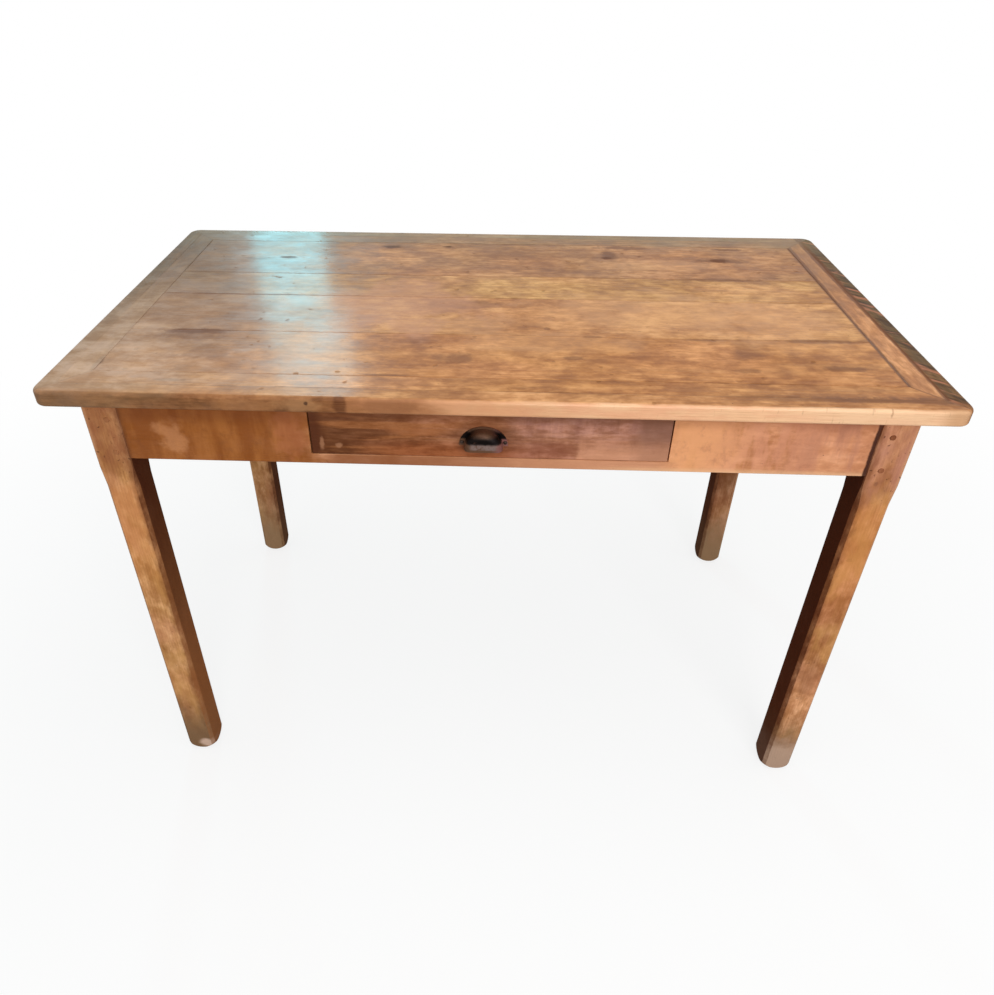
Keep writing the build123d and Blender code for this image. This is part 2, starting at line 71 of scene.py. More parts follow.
def tone(red, green, blue):
    """A colour as it looks on a screen, turned into the linear values of the materials."""

    def channel(value):
        share = value / 255
        return share / 12.92 if share <= 0.04045 else ((share + 0.055) / 1.055) ** 2.4

    return (channel(red), channel(green), channel(blue))


def colour_property(name, description, default):
    """A colour of the sidebar's settings."""
    return FloatVectorProperty(
        name=name, description=description, default=default, subtype="COLOR", size=3, min=0.0, max=1.0
    )


def length_property(name, description, default):
    """A length of the sidebar's settings, in metres."""
    return FloatProperty(
        name=name, description=description, default=default, min=0.0, unit="LENGTH", precision=4
    )


def power_property(name, description, default):
    """A lamp's power of the sidebar's settings, in watts."""
    return FloatProperty(name=name, description=description, default=default, min=0.0, unit="POWER")


class TopSettings(bpy.types.PropertyGroup):
    """The colours and lengths of the table top"""

    early_wood: colour_property("Early wood", "Pale wood between the rings of the top", tone(204, 148, 82))
    late_wood: colour_property("Late wood", "Darker wood of the rings of the top", tone(148, 90, 42))
    rose_wood: colour_property("Rose wood", "Pinkish clouds in the wood of the top", tone(206, 138, 88))
    knot_wood: colour_property("Knots", "Core of the knots in the top", tone(84, 40, 16))
    patina: colour_property(
        "Patina", "Grey-green bloom on the back and the ends of the top", tone(142, 124, 92)
    )
    dirt: colour_property("Dirt", "Dirt in the seams of the top", tone(86, 50, 28))
    edge_wood: colour_property(
        "Edge strip", "Pale worn wood with painted light on the front edge of the top", tone(250, 200, 156)
    )
    ring_spacing: length_property("Ring spacing", "Distance between two rings of the top", 0.0042)
    tongue: length_property("Tongue", "Length of the hidden tongues on the boards", 0.008)
    dirt_width: length_property("Dirt width", "How far dirt reaches from a seam", 0.0026)


class FrameSettings(bpy.types.PropertyGroup):
    """The colours and lengths of the legs and aprons"""

    early_wood: colour_property(
        "Early wood", "Pale wood between the rings of legs and aprons", tone(212, 150, 92)
    )
    late_wood: colour_property("Late wood", "Darker wood of the rings of legs and aprons", tone(154, 96, 52))
    # Painted shade: a dark colour laid on the faces that point under the table, where shade falls
    painted_shade_wood: colour_property(
        "Painted inner shade", "Painted shade on the faces that point under the table", tone(74, 30, 14)
    )
    foot_wood: colour_property("Feet", "Dirty grey-brown wood of the feet", tone(126, 98, 72))
    rim_bare_wood_and_highlight: colour_property("Foot rim", "Bare wood with a painted highlight on the rim of the feet", tone(238, 204, 182))
    bruise: colour_property("Bruise", "Purplish stain near the joints", tone(160, 104, 82))
    bare_wood: colour_property(
        "Bare wood", "Wood that wear has laid bare on the arrises", tone(216, 164, 122)
    )
    ring_spacing: length_property("Ring spacing", "Distance between two rings of the frame", 0.0036)
    foot_height: length_property("Foot height", "How far the dirt climbs up the legs", 0.08)


class DrawerSettings(bpy.types.PropertyGroup):
    """The colours and lengths of the drawer"""

    early_wood: colour_property("Early wood", "Pale wood of the drawer front", tone(176, 116, 78))
    late_wood: colour_property("Late wood", "Darker wood of the drawer front", tone(122, 72, 44))
    blush: colour_property("Blush", "Salmon patch at the right of the drawer front", tone(222, 160, 124))
    box_wood: colour_property("Box wood", "Bare pale wood of the drawer box", tone(198, 160, 112))
    box_rings: colour_property("Box rings", "Rings of the bare wood", tone(156, 114, 72))
    ring_spacing: length_property("Ring spacing", "Distance between two rings of the drawer", 0.003)


class MetalSettings(bpy.types.PropertyGroup):
    """The colours of the pull, screws and nails"""

    iron: colour_property("Iron", "Blackened iron of the cup pull", tone(112, 80, 60))
    rubbed: colour_property("Iron highlight", "Painted highlight on the pull's lip", tone(150, 128, 122))
    rust: colour_property("Rust", "Rust in the pull and on the screws", tone(92, 56, 38))
    screw: colour_property("Screws", "Dull steel of the screws and nails", tone(46, 32, 26))


class StageSettings(bpy.types.PropertyGroup):
    """The floor and the light round the table"""

    floor: colour_property("Floor", "Colour of the studio floor", tone(250, 249, 247))
    floor_reach: length_property("Floor reach", "Half the width of the studio floor", 30.0)
    ambient: FloatProperty(
        name="Ambient", description="Strength of the even light all round", default=0.5, min=0.0
    )
    key: power_property("Key", "Power of the soft front lamp", 56.0)
    ceiling: power_property("Ceiling", "Power of the lamp overhead", 17.0)
    window: power_property("Window", "Power of the window lamp", 8.5)
    pane: power_property("Pane", "Power of the window's upper pane", 9.0)
    curtain: power_property("Curtain", "Power of the thin curtain beside the window", 0.9)


SETTINGS = {
    "table_top": TopSettings,
    "table_frame": FrameSettings,
    "table_drawer": DrawerSettings,
    "table_metal": MetalSettings,
    "table_stage": StageSettings,
}


class Tree:
    """A node tree, with short ways to add nodes to it and to join them."""

    def __init__(self, tree):
        self.tree = tree

    def feed(self, socket, value):
        """Joins a socket to another one, or sets it to a plain value."""
        if value is None:
            return
        if isinstance(value, bpy.types.NodeSocket):
            self.tree.links.new(value, socket)
        elif socket.type == "RGBA" and len(value) == 3:
            socket.default_value = (*value, 1.0)
        else:
            socket.default_value = value

    def node(self, kind, inputs=None, **settings):
        """Adds a node, with its settings, and its inputs by name."""
        made = self.tree.nodes.new(kind)
        made.location = (220 * (len(self.tree.nodes) % 12), -260 * (len(self.tree.nodes) // 12))
        for name, value in settings.items():
            setattr(made, name, value)
        for name, value in (inputs or {}).items():
            self.feed(made.inputs[name], value)
        return made

    def math(self, operation, first, second=None, third=None):
        """A sum on plain values."""
        made = self.node("ShaderNodeMath", operation=operation)
        for socket, value in zip(made.inputs, (first, second, third)):
            self.feed(socket, value)
        return made.outputs[0]

    def vector(self, operation, first, second=None, scale=None):
        """A sum on vectors."""
        made = self.node("ShaderNodeVectorMath", operation=operation)
        self.feed(made.inputs[0], first)
        self.feed(made.inputs[1], second)
        if scale is not None:
            self.feed(made.inputs["Scale"], scale)
        single = operation in ("LENGTH", "DISTANCE", "DOT_PRODUCT")
        return made.outputs["Value" if single else "Vector"]

    def parts(self, vector):
        """The three values of a vector."""
        return self.node("ShaderNodeSeparateXYZ", {"Vector": vector}).outputs

    def join(self, x, y, z):
        """A vector made of three values."""
        return self.node("ShaderNodeCombineXYZ", {"X": x, "Y": y, "Z": z}).outputs[0]

    def noise(self, vector, detail=2.0, roughness=0.5):
        """Smooth noise: a value and a colour."""
        inputs = {"Vector": vector, "Scale": 1.0, "Detail": detail, "Roughness": roughness}
        return self.node("ShaderNodeTexNoise", inputs).outputs

    def step(self, value, low, high, start=0.0, end=1.0):
        """A value that rises smoothly from start to end between low and high."""
        inputs = {"Value": value, "From Min": low, "From Max": high, "To Min": start, "To Max": end}
        return self.node("ShaderNodeMapRange", inputs, interpolation_type="SMOOTHSTEP").outputs[0]

    def warm(self, bright):
        """A tint for wood: below 1 it darkens and warms, above 1 it bleaches."""
        return self.join(bright, self.math("POWER", bright, 1.35), self.math("POWER", bright, 1.85))

    def mix(self, share, first, second, blend="MIX"):
        """Two colours mixed by a share."""
        made = self.node("ShaderNodeMix", data_type="RGBA", blend_type=blend)
        self.feed(made.inputs[0], share)
        self.feed(made.inputs[6], first)
        self.feed(made.inputs[7], second)
        return made.outputs[2]

    def group(self, tree, **inputs):
        """A node that places a group; its inputs are named with underscores for spaces."""
        made = self.node("ShaderNodeGroup", node_tree=tree)
        for name, value in inputs.items():
            self.feed(made.inputs[name.replace("_", " ")], value)
        return made.outputs


def new_group(name, inputs, outputs):
    """An empty shader node group with named sockets: the group, its tree, its inputs and its output node."""
    kinds = {"value": "NodeSocketFloat", "vector": "NodeSocketVector", "colour": "NodeSocketColor"}
    tree = bpy.data.node_groups.new(name, "ShaderNodeTree")
    for label, kind, default in inputs:
        socket = tree.interface.new_socket(label, in_out="INPUT", socket_type=kinds[kind])
        socket.default_value = (*default, 1.0) if kind == "colour" else default
    for label, kind in outputs:
        tree.interface.new_socket(label, in_out="OUTPUT", socket_type=kinds[kind])
    made = Tree(tree)
    return tree, made, made.node("NodeGroupInput").outputs, made.node("NodeGroupOutput").inputs


def box_edge_group():
    """How far a point lies from the nearest edge of its board, from the board's two corners."""
    tree, t, given, out = new_group(
        "Distance to board edge",
        [("Vector", "vector", (0, 0, 0)), ("Low", "vector", (0, 0, 0)), ("High", "vector", (1, 1, 1))],
        [("Edge", "value")],
    )
    above = t.vector("ABSOLUTE", t.vector("SUBTRACT", given["Vector"], given["Low"]))
    below = t.vector("ABSOLUTE", t.vector("SUBTRACT", given["High"], given["Vector"]))
    x, y, z = t.parts(t.vector("MINIMUM", above, below))
    nearer = t.math("MINIMUM", x, y)
    farther = t.math("MAXIMUM", x, y)
    t.feed(out["Edge"], t.math("MAXIMUM", nearer, t.math("MINIMUM", farther, z)))
    return tree


def knot_group():
    """One knot: its dark core, and the bulge that it gives the rings round it."""
    tree, t, given, out = new_group(
        "Knot",
        [
            ("Vector", "vector", (0, 0, 0)),
            ("Centre", "vector", (0, 0, 0)),
            ("Radius", "value", 0.01),
            ("Stretch", "value", 1.6),
            ("Before", "value", 0.0),
            ("Bulge Before", "value", 0.0),
        ],
        [("Core", "value"), ("Bulge", "value")],
    )
    x, y, _ = t.parts(t.vector("SUBTRACT", given["Vector"], given["Centre"]))
    ragged = t.noise(t.vector("SCALE", given["Vector"], scale=90.0))[1]
    shaken_x, shaken_y, _ = t.parts(t.vector("SUBTRACT", ragged, (0.5, 0.5, 0.5)))
    along = t.math("DIVIDE", x, given["Stretch"])
    along = t.math("MULTIPLY_ADD", shaken_x, t.math("MULTIPLY", given["Radius"], 0.8), along)
    across = t.math("MULTIPLY_ADD", shaken_y, t.math("MULTIPLY", given["Radius"], 0.8), y)
    distance = t.vector("LENGTH", t.join(along, across, 0.0))
    reach = t.math("DIVIDE", distance, given["Radius"])
    core = t.step(reach, 0.55, 1.25, 1.0, 0.0)
    t.feed(out["Core"], t.math("MAXIMUM", given["Before"], core))
    wide = t.math("DIVIDE", reach, 2.4)
    falling = t.math("EXPONENT", t.math("MULTIPLY", t.math("MULTIPLY", wide, wide), -1.0))
    bulge = t.math("MULTIPLY", falling, t.math("MULTIPLY", given["Radius"], 1.5))
    t.feed(out["Bulge"], t.math("ADD", given["Bulge Before"], bulge))
    return tree


def growth_group():
    """The rings, streaks, smudges and pores of a sawn pine board whose pith runs beside or under it."""
    tree, t, given, out = new_group(
        "Pine growth",
        [
            ("Vector", "vector", (0, 0, 0)),
            ("Seed", "value", 0.0),
            ("Pith", "vector", (0, 0, 0)),
            ("Ring Spacing", "value", 0.004),
            ("Wander", "value", 0.03),
            ("Bulge", "value", 0.0),
        ],
        [
            ("Late", "value"),
            ("Ring Tone", "value"),
            ("Streak", "value"),
            ("Smudge", "value"),
            ("Pore", "value"),
            ("Cloud", "value"),
            ("Shade", "value"),
            ("Fleck", "value"),
            ("Hue", "value"),
        ],
    )
    seed = t.vector("SCALE", (0.37, 1.13, 2.71), scale=given["Seed"])
    here = t.vector("ADD", given["Vector"], seed)
    slow = t.noise(t.vector("MULTIPLY", here, (1.1, 4.0, 4.0)), 1.0)[1]
    slow_x, slow_y, _ = t.parts(t.vector("SUBTRACT", slow, (0.5, 0.5, 0.5)))
    ripple = t.noise(t.vector("MULTIPLY", here, (7.0, 34.0, 34.0)), 2.0)[1]
    ripple_x, ripple_y, _ = t.parts(t.vector("SUBTRACT", ripple, (0.5, 0.5, 0.5)))
    _, side, depth = t.parts(t.vector("SUBTRACT", given["Vector"], given["Pith"]))
    side = t.math("MULTIPLY_ADD", slow_x, given["Wander"], side)
    side = t.math("MULTIPLY_ADD", ripple_x, 0.0055, side)
    depth = t.math("MULTIPLY_ADD", slow_y, given["Wander"], depth)
    depth = t.math("MULTIPLY_ADD", ripple_y, 0.0055, depth)
    radius = t.math("ADD", t.vector("LENGTH", t.join(side, depth, 0.0)), given["Bulge"])
    uneven = t.node("ShaderNodeTexNoise", {"W": radius, "Scale": 55.0, "Detail": 1.0}, noise_dimensions="1D")
    phase = t.math("DIVIDE", radius, given["Ring Spacing"])
    phase = t.math("MULTIPLY_ADD", uneven.outputs[0], 3.0, phase)
    ring = t.math("FRACT", phase)
    late = t.math("MULTIPLY", t.step(ring, 0.2, 0.85), t.step(ring, 0.86, 1.0, 1.0, 0.0))
    faint = t.noise(t.vector("MULTIPLY", here, (3.0, 22.0, 22.0)), 2.0)[0]
    t.feed(out["Late"], t.math("MULTIPLY", late, t.step(faint, 0.32, 0.66, 0.15, 1.0)))
    number = t.math("ADD", t.math("FLOOR", phase), t.math("MULTIPLY", given["Seed"], 17.0))
    t.feed(
        out["Ring Tone"], t.node("ShaderNodeTexWhiteNoise", {"W": number}, noise_dimensions="1D").outputs[0]
    )
    t.feed(out["Streak"], t.noise(t.vector("MULTIPLY", here, (1.8, 44.0, 44.0)), 3.0, 0.62)[0])
    t.feed(out["Smudge"], t.noise(t.vector("MULTIPLY", here, (8.0, 46.0, 46.0)), 4.0, 0.66)[0])
    t.feed(out["Pore"], t.noise(t.vector("MULTIPLY", here, (30.0, 640.0, 640.0)), 1.0)[0])
    t.feed(out["Cloud"], t.noise(t.vector("MULTIPLY", here, (18.0, 27.0, 27.0)), 4.0, 0.62)[0])
    t.feed(out["Shade"], t.noise(t.vector("MULTIPLY", here, (6.0, 9.0, 9.0)), 2.0)[0])
    t.feed(out["Fleck"], t.noise(t.vector("MULTIPLY", here, (46.0, 90.0, 90.0)), 3.0, 0.6)[0])
    t.feed(out["Hue"], t.noise(t.vector("MULTIPLY", here, (5.0, 9.0, 9.0)), 1.0)[0])
    return tree


def scuff_group():
    """Fine scratches in two directions and small dents, as masks."""
    tree, t, given, out = new_group(
        "Scuffs",
        [("Vector", "vector", (0, 0, 0)), ("Seed", "value", 0.0)],
        [("Scratch", "value"), ("Dent", "value"), ("Hole", "value")],
    )
    here = t.vector("ADD", given["Vector"], t.vector("SCALE", (3.1, 1.7, 0.9), scale=given["Seed"]))
    masks = []
    for turn in (0.35, -0.5):
        turned = t.node(
            "ShaderNodeVectorRotate", {"Vector": here, "Angle": turn}, rotation_type="Z_AXIS"
        ).outputs[0]
        lines = t.noise(t.vector("MULTIPLY", turned, (9.0, 520.0, 520.0)), 0.0)[0]
        where = t.noise(t.vector("SCALE", turned, scale=26.0), 1.0)[0]
        masks.append(t.math("MULTIPLY", t.step(lines, 0.7, 0.76), t.step(where, 0.56, 0.64)))
    t.feed(out["Scratch"], t.math("MAXIMUM", masks[0], masks[1]))
    t.feed(out["Dent"], t.step(t.noise(t.vector("SCALE", here, scale=75.0), 1.0)[0], 0.7, 0.8))
    cells = t.node("ShaderNodeTexVoronoi", {"Vector": here, "Scale": 62.0, "Randomness": 1.0})
    chosen = t.node("ShaderNodeTexWhiteNoise", {"Vector": cells.outputs["Position"]}, noise_dimensions="3D")
    small = t.step(cells.outputs["Distance"], 0.035, 0.06, 1.0, 0.0)
    t.feed(out["Hole"], t.math("MULTIPLY", small, t.step(chosen.outputs[0], 0.86, 0.87)))
    return tree


def old_pine_group(growth, scuffs):
    """Old waxed pine: its colour, roughness and relief from the growth, knots, scuffs and seams."""
    tree, t, given, out = new_group(
        "Old waxed pine",
        [
            ("Vector", "vector", (0, 0, 0)),
            ("Seed", "value", 0.0),
            ("Pith", "vector", (0, 0, 0)),
            ("Ring Spacing", "value", 0.004),
            ("Wander", "value", 0.03),
            ("Knot", "value", 0.0),
            ("Bulge", "value", 0.0),
            ("Edge", "value", 1.0),
            ("Dirt Width", "value", 0.004),
            ("Dirt Amount", "value", 0.8),
            ("Contrast", "value", 0.6),
            ("Clouding", "value", 1.0),
            ("Smudges", "value", 0.6),
            ("Wear", "value", 0.5),
            ("Early Wood", "colour", (0.6, 0.4, 0.2)),
            ("Late Wood", "colour", (0.4, 0.2, 0.1)),
            ("Rose Tint", "colour", (0.6, 0.4, 0.3)),
            ("Knot Wood", "colour", (0.1, 0.05, 0.02)),
            ("Dirt", "colour", (0.1, 0.05, 0.02)),
            ("Bare Wood", "colour", (0.8, 0.6, 0.4)),
        ],
        [("Colour", "colour"), ("Roughness", "value"), ("Height", "value"), ("Gloss", "value")],
    )
    grown = t.group(
        growth,
        Vector=given["Vector"],
        Seed=given["Seed"],
        Pith=given["Pith"],
        Ring_Spacing=given["Ring Spacing"],
        Wander=given["Wander"],
        Bulge=given["Bulge"],
    )
    marks = t.group(scuffs, Vector=given["Vector"], Seed=given["Seed"])
    colour = t.mix(t.step(grown["Hue"], 0.4, 0.62, 0.12, 0.46), given["Early Wood"], given["Rose Tint"])
    ring_share = t.math("MULTIPLY", grown["Late"], given["Contrast"])
    ring_share = t.math("MULTIPLY_ADD", grown["Ring Tone"], 0.16, t.math("MULTIPLY", ring_share, 0.7))
    colour = t.mix(ring_share, colour, given["Late Wood"])
    streak = t.math("MULTIPLY", t.step(grown["Streak"], 0.44, 0.74, 0.0, 0.8), given["Contrast"])
    colour = t.mix(streak, colour, given["Late Wood"])
    smudge = t.math("MULTIPLY", t.step(grown["Smudge"], 0.48, 0.72, 0.0, 0.75), given["Smudges"])
    colour = t.mix(smudge, colour, given["Late Wood"])
    deep = t.math("MULTIPLY", t.step(grown["Smudge"], 0.64, 0.78, 0.0, 0.7), given["Smudges"])
    colour = t.mix(deep, colour, given["Dirt"])
    pale = t.math("MULTIPLY", t.step(grown["Streak"], 0.3, 0.45, 0.35, 0.0), given["Wear"])
    colour = t.mix(pale, colour, given["Bare Wood"])
    shaded = t.step(grown["Shade"], 0.34, 0.66, 0.84, 1.1)
    bright = t.math("MULTIPLY", t.step(grown["Cloud"], 0.34, 0.66, 0.74, 1.2), shaded)
    bright = t.math("MULTIPLY", bright, t.step(grown["Fleck"], 0.32, 0.68, 0.84, 1.14))
    bright = t.math("MULTIPLY_ADD", t.math("SUBTRACT", bright, 1.0), given["Clouding"], 1.0)
    colour = t.mix(1.0, colour, t.warm(bright), "MULTIPLY")
    pore = t.step(grown["Pore"], 0.56, 0.7, 0.0, 0.28)
    colour = t.mix(pore, colour, given["Late Wood"])
    colour = t.mix(t.math("MULTIPLY", given["Knot"], 0.85), colour, given["Knot Wood"])
    broken = t.noise(t.vector("SCALE", given["Vector"], scale=40.0), 3.0, 0.6)[0]
    near = t.math("DIVIDE", given["Edge"], given["Dirt Width"])
    near = t.math("MULTIPLY_ADD", t.math("SUBTRACT", broken, 0.5), 3.0, near)
    stretches = t.noise(t.vector("MULTIPLY", given["Vector"], (9.0, 14.0, 14.0)), 2.0)[0]
    amount = t.math("MULTIPLY", given["Dirt Amount"], t.step(stretches, 0.42, 0.6, 0.25, 1.0))
    seam = t.math("MULTIPLY", t.step(near, 0.0, 1.0, 1.0, 0.0), amount)
    colour = t.mix(seam, colour, given["Dirt"])
    scratch = t.math("MULTIPLY", marks["Scratch"], t.math("MULTIPLY", given["Wear"], 0.3))
    colour = t.mix(scratch, colour, given["Bare Wood"])
    colour = t.mix(t.math("MULTIPLY", marks["Dent"], 0.35), colour, given["Dirt"])
    colour = t.mix(t.math("MULTIPLY", marks["Hole"], 0.85), colour, given["Knot Wood"])
    t.feed(out["Colour"], colour)
    rough = t.step(grown["Cloud"], 0.3, 0.7, 0.4, 0.58)
    rough = t.math("MULTIPLY_ADD", grown["Late"], -0.05, rough)
    rough = t.math("MULTIPLY_ADD", marks["Scratch"], 0.12, rough)
    t.feed(out["Roughness"], t.math("MULTIPLY_ADD", seam, 0.2, rough))
    dull = t.math("MAXIMUM", t.math("MAXIMUM", seam, marks["Dent"]), t.math("MULTIPLY", smudge, 0.35))
    dull = t.math("MAXIMUM", dull, given["Knot"])
    gloss = t.math("MULTIPLY", t.math("SUBTRACT", 1.0, dull), t.step(grown["Cloud"], 0.25, 0.7, 1.0, 0.7))
    t.feed(out["Gloss"], gloss)
    height = t.math("MULTIPLY", grown["Late"], 0.4)
    height = t.math("MULTIPLY_ADD", grown["Pore"], 0.3, height)
    height = t.math("MULTIPLY_ADD", grown["Streak"], 0.9, height)
    height = t.math("MULTIPLY_ADD", grown["Cloud"], 0.7, height)
    height = t.math("MULTIPLY_ADD", marks["Scratch"], -0.4, height)
    height = t.math("MULTIPLY_ADD", marks["Dent"], -0.9, height)
    height = t.math("MULTIPLY_ADD", marks["Hole"], -1.6, height)
    height = t.math("MULTIPLY_ADD", given["Knot"], 0.4, height)
    t.feed(out["Height"], t.math("MULTIPLY_ADD", seam, -0.6, height))
    return tree


def worn_iron_group():
    """Blackened iron that is rubbed bright where it stands out and rusty in its corners."""
    tree, t, given, out = new_group(
        "Worn iron",
        [
            ("Vector", "vector", (0, 0, 0)),
            ("Rubbed", "value", 0.0),
            ("Base", "colour", (0.05, 0.05, 0.05)),
            ("Bright", "colour", (0.2, 0.2, 0.2)),
            ("Rust", "colour", (0.2, 0.08, 0.04)),
        ],
        [("Colour", "colour"), ("Roughness", "value"), ("Metallic", "value"), ("Height", "value")],
    )
    coarse = t.noise(t.vector("SCALE", given["Vector"], scale=130.0), 3.0, 0.6)[0]
    fine = t.noise(t.vector("SCALE", given["Vector"], scale=900.0), 2.0, 0.6)[0]
    rubbed = t.math("MULTIPLY", given["Rubbed"], t.step(coarse, 0.3, 0.6))
    rusty = t.math("MULTIPLY", t.step(coarse, 0.56, 0.72), 0.55)
    colour = t.mix(rubbed, given["Base"], given["Bright"])
    t.feed(out["Colour"], t.mix(rusty, colour, given["Rust"]))
    rough = t.step(fine, 0.3, 0.7, 0.38, 0.6)
    t.feed(out["Roughness"], t.math("MULTIPLY_ADD", rubbed, -0.12, rough))
    t.feed(out["Metallic"], t.math("SUBTRACT", 0.62, rusty))
    t.feed(out["Height"], t.math("MULTIPLY_ADD", fine, 0.4, coarse))
    return tree


def shared_group(name):
    """A shared effect by its name, made when it is first asked for."""
    if name not in bpy.data.node_groups:
        if name == "Old waxed pine":
            old_pine_group(shared_group("Pine growth"), shared_group("Scuffs"))
        else:
            makers = {
                "Distance to board edge": box_edge_group,
                "Knot": knot_group,
                "Pine growth": growth_group,
                "Scuffs": scuff_group,
                "Worn iron": worn_iron_group,
            }
            makers[name]()
    return bpy.data.node_groups[name]


def dress(node, material):
    """Gives a CAD node its material, in every slot that it has."""
    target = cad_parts[node]
    if not target.material_slots:
        target.data.materials.append(material)
    for holder in target.material_slots:
        holder.material = material


def new_material(name):
    """An empty material, its tree, its shader and its object coordinates."""
    material = bpy.data.materials.new(name)
    material.use_nodes = True
    material.node_tree.nodes.clear()
    t = Tree(material.node_tree)
    shader = t.node("ShaderNodeBsdfPrincipled")
    output = t.node("ShaderNodeOutputMaterial")
    t.feed(output.inputs["Surface"], shader.outputs[0])
    place = t.node("ShaderNodeTexCoord").outputs["Object"]
    return material, t, shader, place


def blotch(t, place, centre, reach, ragged=0.6, scale=30.0):
    """A mask that is 1 at a place on the object and fades out raggedly round it."""
    apart = t.vector("DIVIDE", t.vector("SUBTRACT", place, centre), reach)
    shaken = t.noise(t.vector("SCALE", place, scale=scale), 3.0, 0.6)[0]
    distance = t.math("MULTIPLY_ADD", t.math("SUBTRACT", shaken, 0.5), 2 * ragged, t.vector("LENGTH", apart))
    return t.step(distance, 0.45, 1.05, 1.0, 0.0)


def mark(t, place, colour, centre, reach, ragged, scale, strength, shade):
    """Lays a ragged mark of a shade on a colour."""
    mask = blotch(t, place, centre, reach, ragged, scale)
    return t.mix(t.math("MULTIPLY", mask, strength), colour, shade)


def top_mark(t, place, colour, centre, reach, ragged, scale, strength, shade):
    """Lays a ragged mark on the top, from its place and reach along and across the table."""
    return mark(t, place, colour, (*centre, TOP_LEVEL), (*reach, 1.0), ragged, scale, strength, shade)


def from_edges(t, x, y):
    """How far a point lies inside the top's ends, inside its front or back, and from its mitres."""
    _, high = CAD_BOX
    from_side = t.math("SUBTRACT", high.x, t.math("ABSOLUTE", x))
    from_front = t.math("SUBTRACT", high.y, t.math("ABSOLUTE", y))
    mitre = t.math("ABSOLUTE", t.math("SUBTRACT", from_side, from_front))
    return from_side, from_front, mitre


def bloom(t, place, colour):
    """The grey bloom on the top: pale at the left, dark in the back left corner, olive along the back."""
    x, y, _ = t.parts(place)
    cloudy = t.noise(t.vector("MULTIPLY", place, (9.0, 16.0, 9.0)), 4.0, 0.6)[0]
    leftward = t.math("MULTIPLY_ADD", cloudy, -0.22, x)
    backward = t.math("MULTIPLY_ADD", cloudy, 0.12, y)
    shaded = t.mix(t.step(backward, -0.2, 0.28), tone(188, 156, 128), tone(90, 74, 54))
    uneven = t.noise(t.vector("MULTIPLY", place, (22.0, 40.0, 22.0)), 5.0, 0.65)[0]
    shaded = t.mix(1.0, shaded, t.warm(t.step(uneven, 0.34, 0.66, 0.74, 1.22)), "MULTIPLY")
    colour = t.mix(t.step(leftward, -0.62, -0.22, 0.72, 0.0), colour, shaded)
    return t.mix(t.step(backward, 0.26, 0.36, 0.0, 0.4), colour, tuple(settings("table_top").patina))


def facing(t, direction, low=0.6, high=0.9, ragged=0.0):
    """A mask of the faces that point in a direction of the object. Ragged shifts its limits."""
    normal = t.node("ShaderNodeNewGeometry").outputs["Normal"]
    turned = t.node(
        "ShaderNodeVectorTransform",
        {"Vector": normal},
        vector_type="NORMAL",
        convert_from="WORLD",
        convert_to="OBJECT",
    ).outputs[0]
    return t.step(t.math("ADD", t.vector("DOT_PRODUCT", turned, direction), ragged), low, high)


class Board:
    """One board's wood: where its rings, knots and seams lie, and the colours that go in."""

    def __init__(self, node, axes, seed, low=None, high=None, pith=(0.0, -0.06)):
        box_low, box_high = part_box(node)
        self.node = node
        self.axes = axes
        self.seed = seed
        self.low = Vector(low or box_low)
        self.high = Vector(high or box_high)
        self.pith = pith
        self.knots = []
        self.contrast = 0.6
        self.clouding = 1.0
        self.smudges = 0.5
        self.wear = 0.5
        self.wander = 0.03
        self.dirt_amount = 0.8
        self.dirt_width = 0.004
        self.shine = 0.15
        self.coat = 0.05
        self.relief = 0.0006

    def finish(self, colours, ring_spacing, paint=None):
        """Makes the material and dresses the board. Paint may change the colour before it is used."""
        material, t, shader, place = new_material(f"{self.node} pine")
        values = t.parts(place)
        grain = t.join(*(values[axis] for axis in self.axes))
        low = [self.low[axis] for axis in self.axes]
        high = [self.high[axis] for axis in self.axes]
        core, bulge = 0.0, 0.0
        for across, along, radius, stretch in self.knots:
            knot = t.group(
                shared_group("Knot"),
                Vector=grain,
                Centre=(along, across, 0.0),
                Radius=radius,
                Stretch=stretch,
                Before=core,
                Bulge_Before=bulge,
            )
            core, bulge = knot["Core"], knot["Bulge"]
        edge = t.group(shared_group("Distance to board edge"), Vector=grain, Low=low, High=high)["Edge"]
        middle = (low[1] + high[1]) / 2
        pine = t.group(
            shared_group("Old waxed pine"),
            Vector=grain,
            Seed=self.seed,
            Pith=(0.0, middle + self.pith[0], high[2] + self.pith[1]),
            Ring_Spacing=ring_spacing,
            Wander=self.wander,
            Knot=core,
            Bulge=bulge,
            Edge=edge,
            Dirt_Width=self.dirt_width,
            Dirt_Amount=self.dirt_amount,
            Contrast=self.contrast,
            Clouding=self.clouding,
            Smudges=self.smudges,
            Wear=self.wear,
            Early_Wood=colours["early"],
            Late_Wood=colours["late"],
            Rose_Tint=colours["rose"],
            Knot_Wood=colours["knot"],
            Dirt=colours["dirt"],
            Bare_Wood=colours["bare"],
        )
        colour, rough, gloss = pine["Colour"], pine["Roughness"], pine["Gloss"]
        if paint:
            colour, dull = paint(t, place, colour, edge)
            if dull is not None:
                rough = t.math("MULTIPLY_ADD", dull, t.math("SUBTRACT", 0.95, rough), rough)
                gloss = t.math("MULTIPLY", gloss, t.math("SUBTRACT", 1.0, dull))
        t.feed(shader.inputs["Base Color"], colour)
        t.feed(shader.inputs["Roughness"], rough)
        shader.inputs["Specular IOR Level"].default_value = self.shine
        if self.coat > 0.0:
            t.feed(shader.inputs["Coat Weight"], t.math("MULTIPLY", gloss, self.coat))
        shader.inputs["Coat Roughness"].default_value = 0.15
        bump = t.node("ShaderNodeBump", {"Strength": 0.6, "Distance": self.relief, "Height": pine["Height"]})
        t.feed(shader.inputs["Normal"], bump.outputs[0])
        dress(self.node, material)
        return material


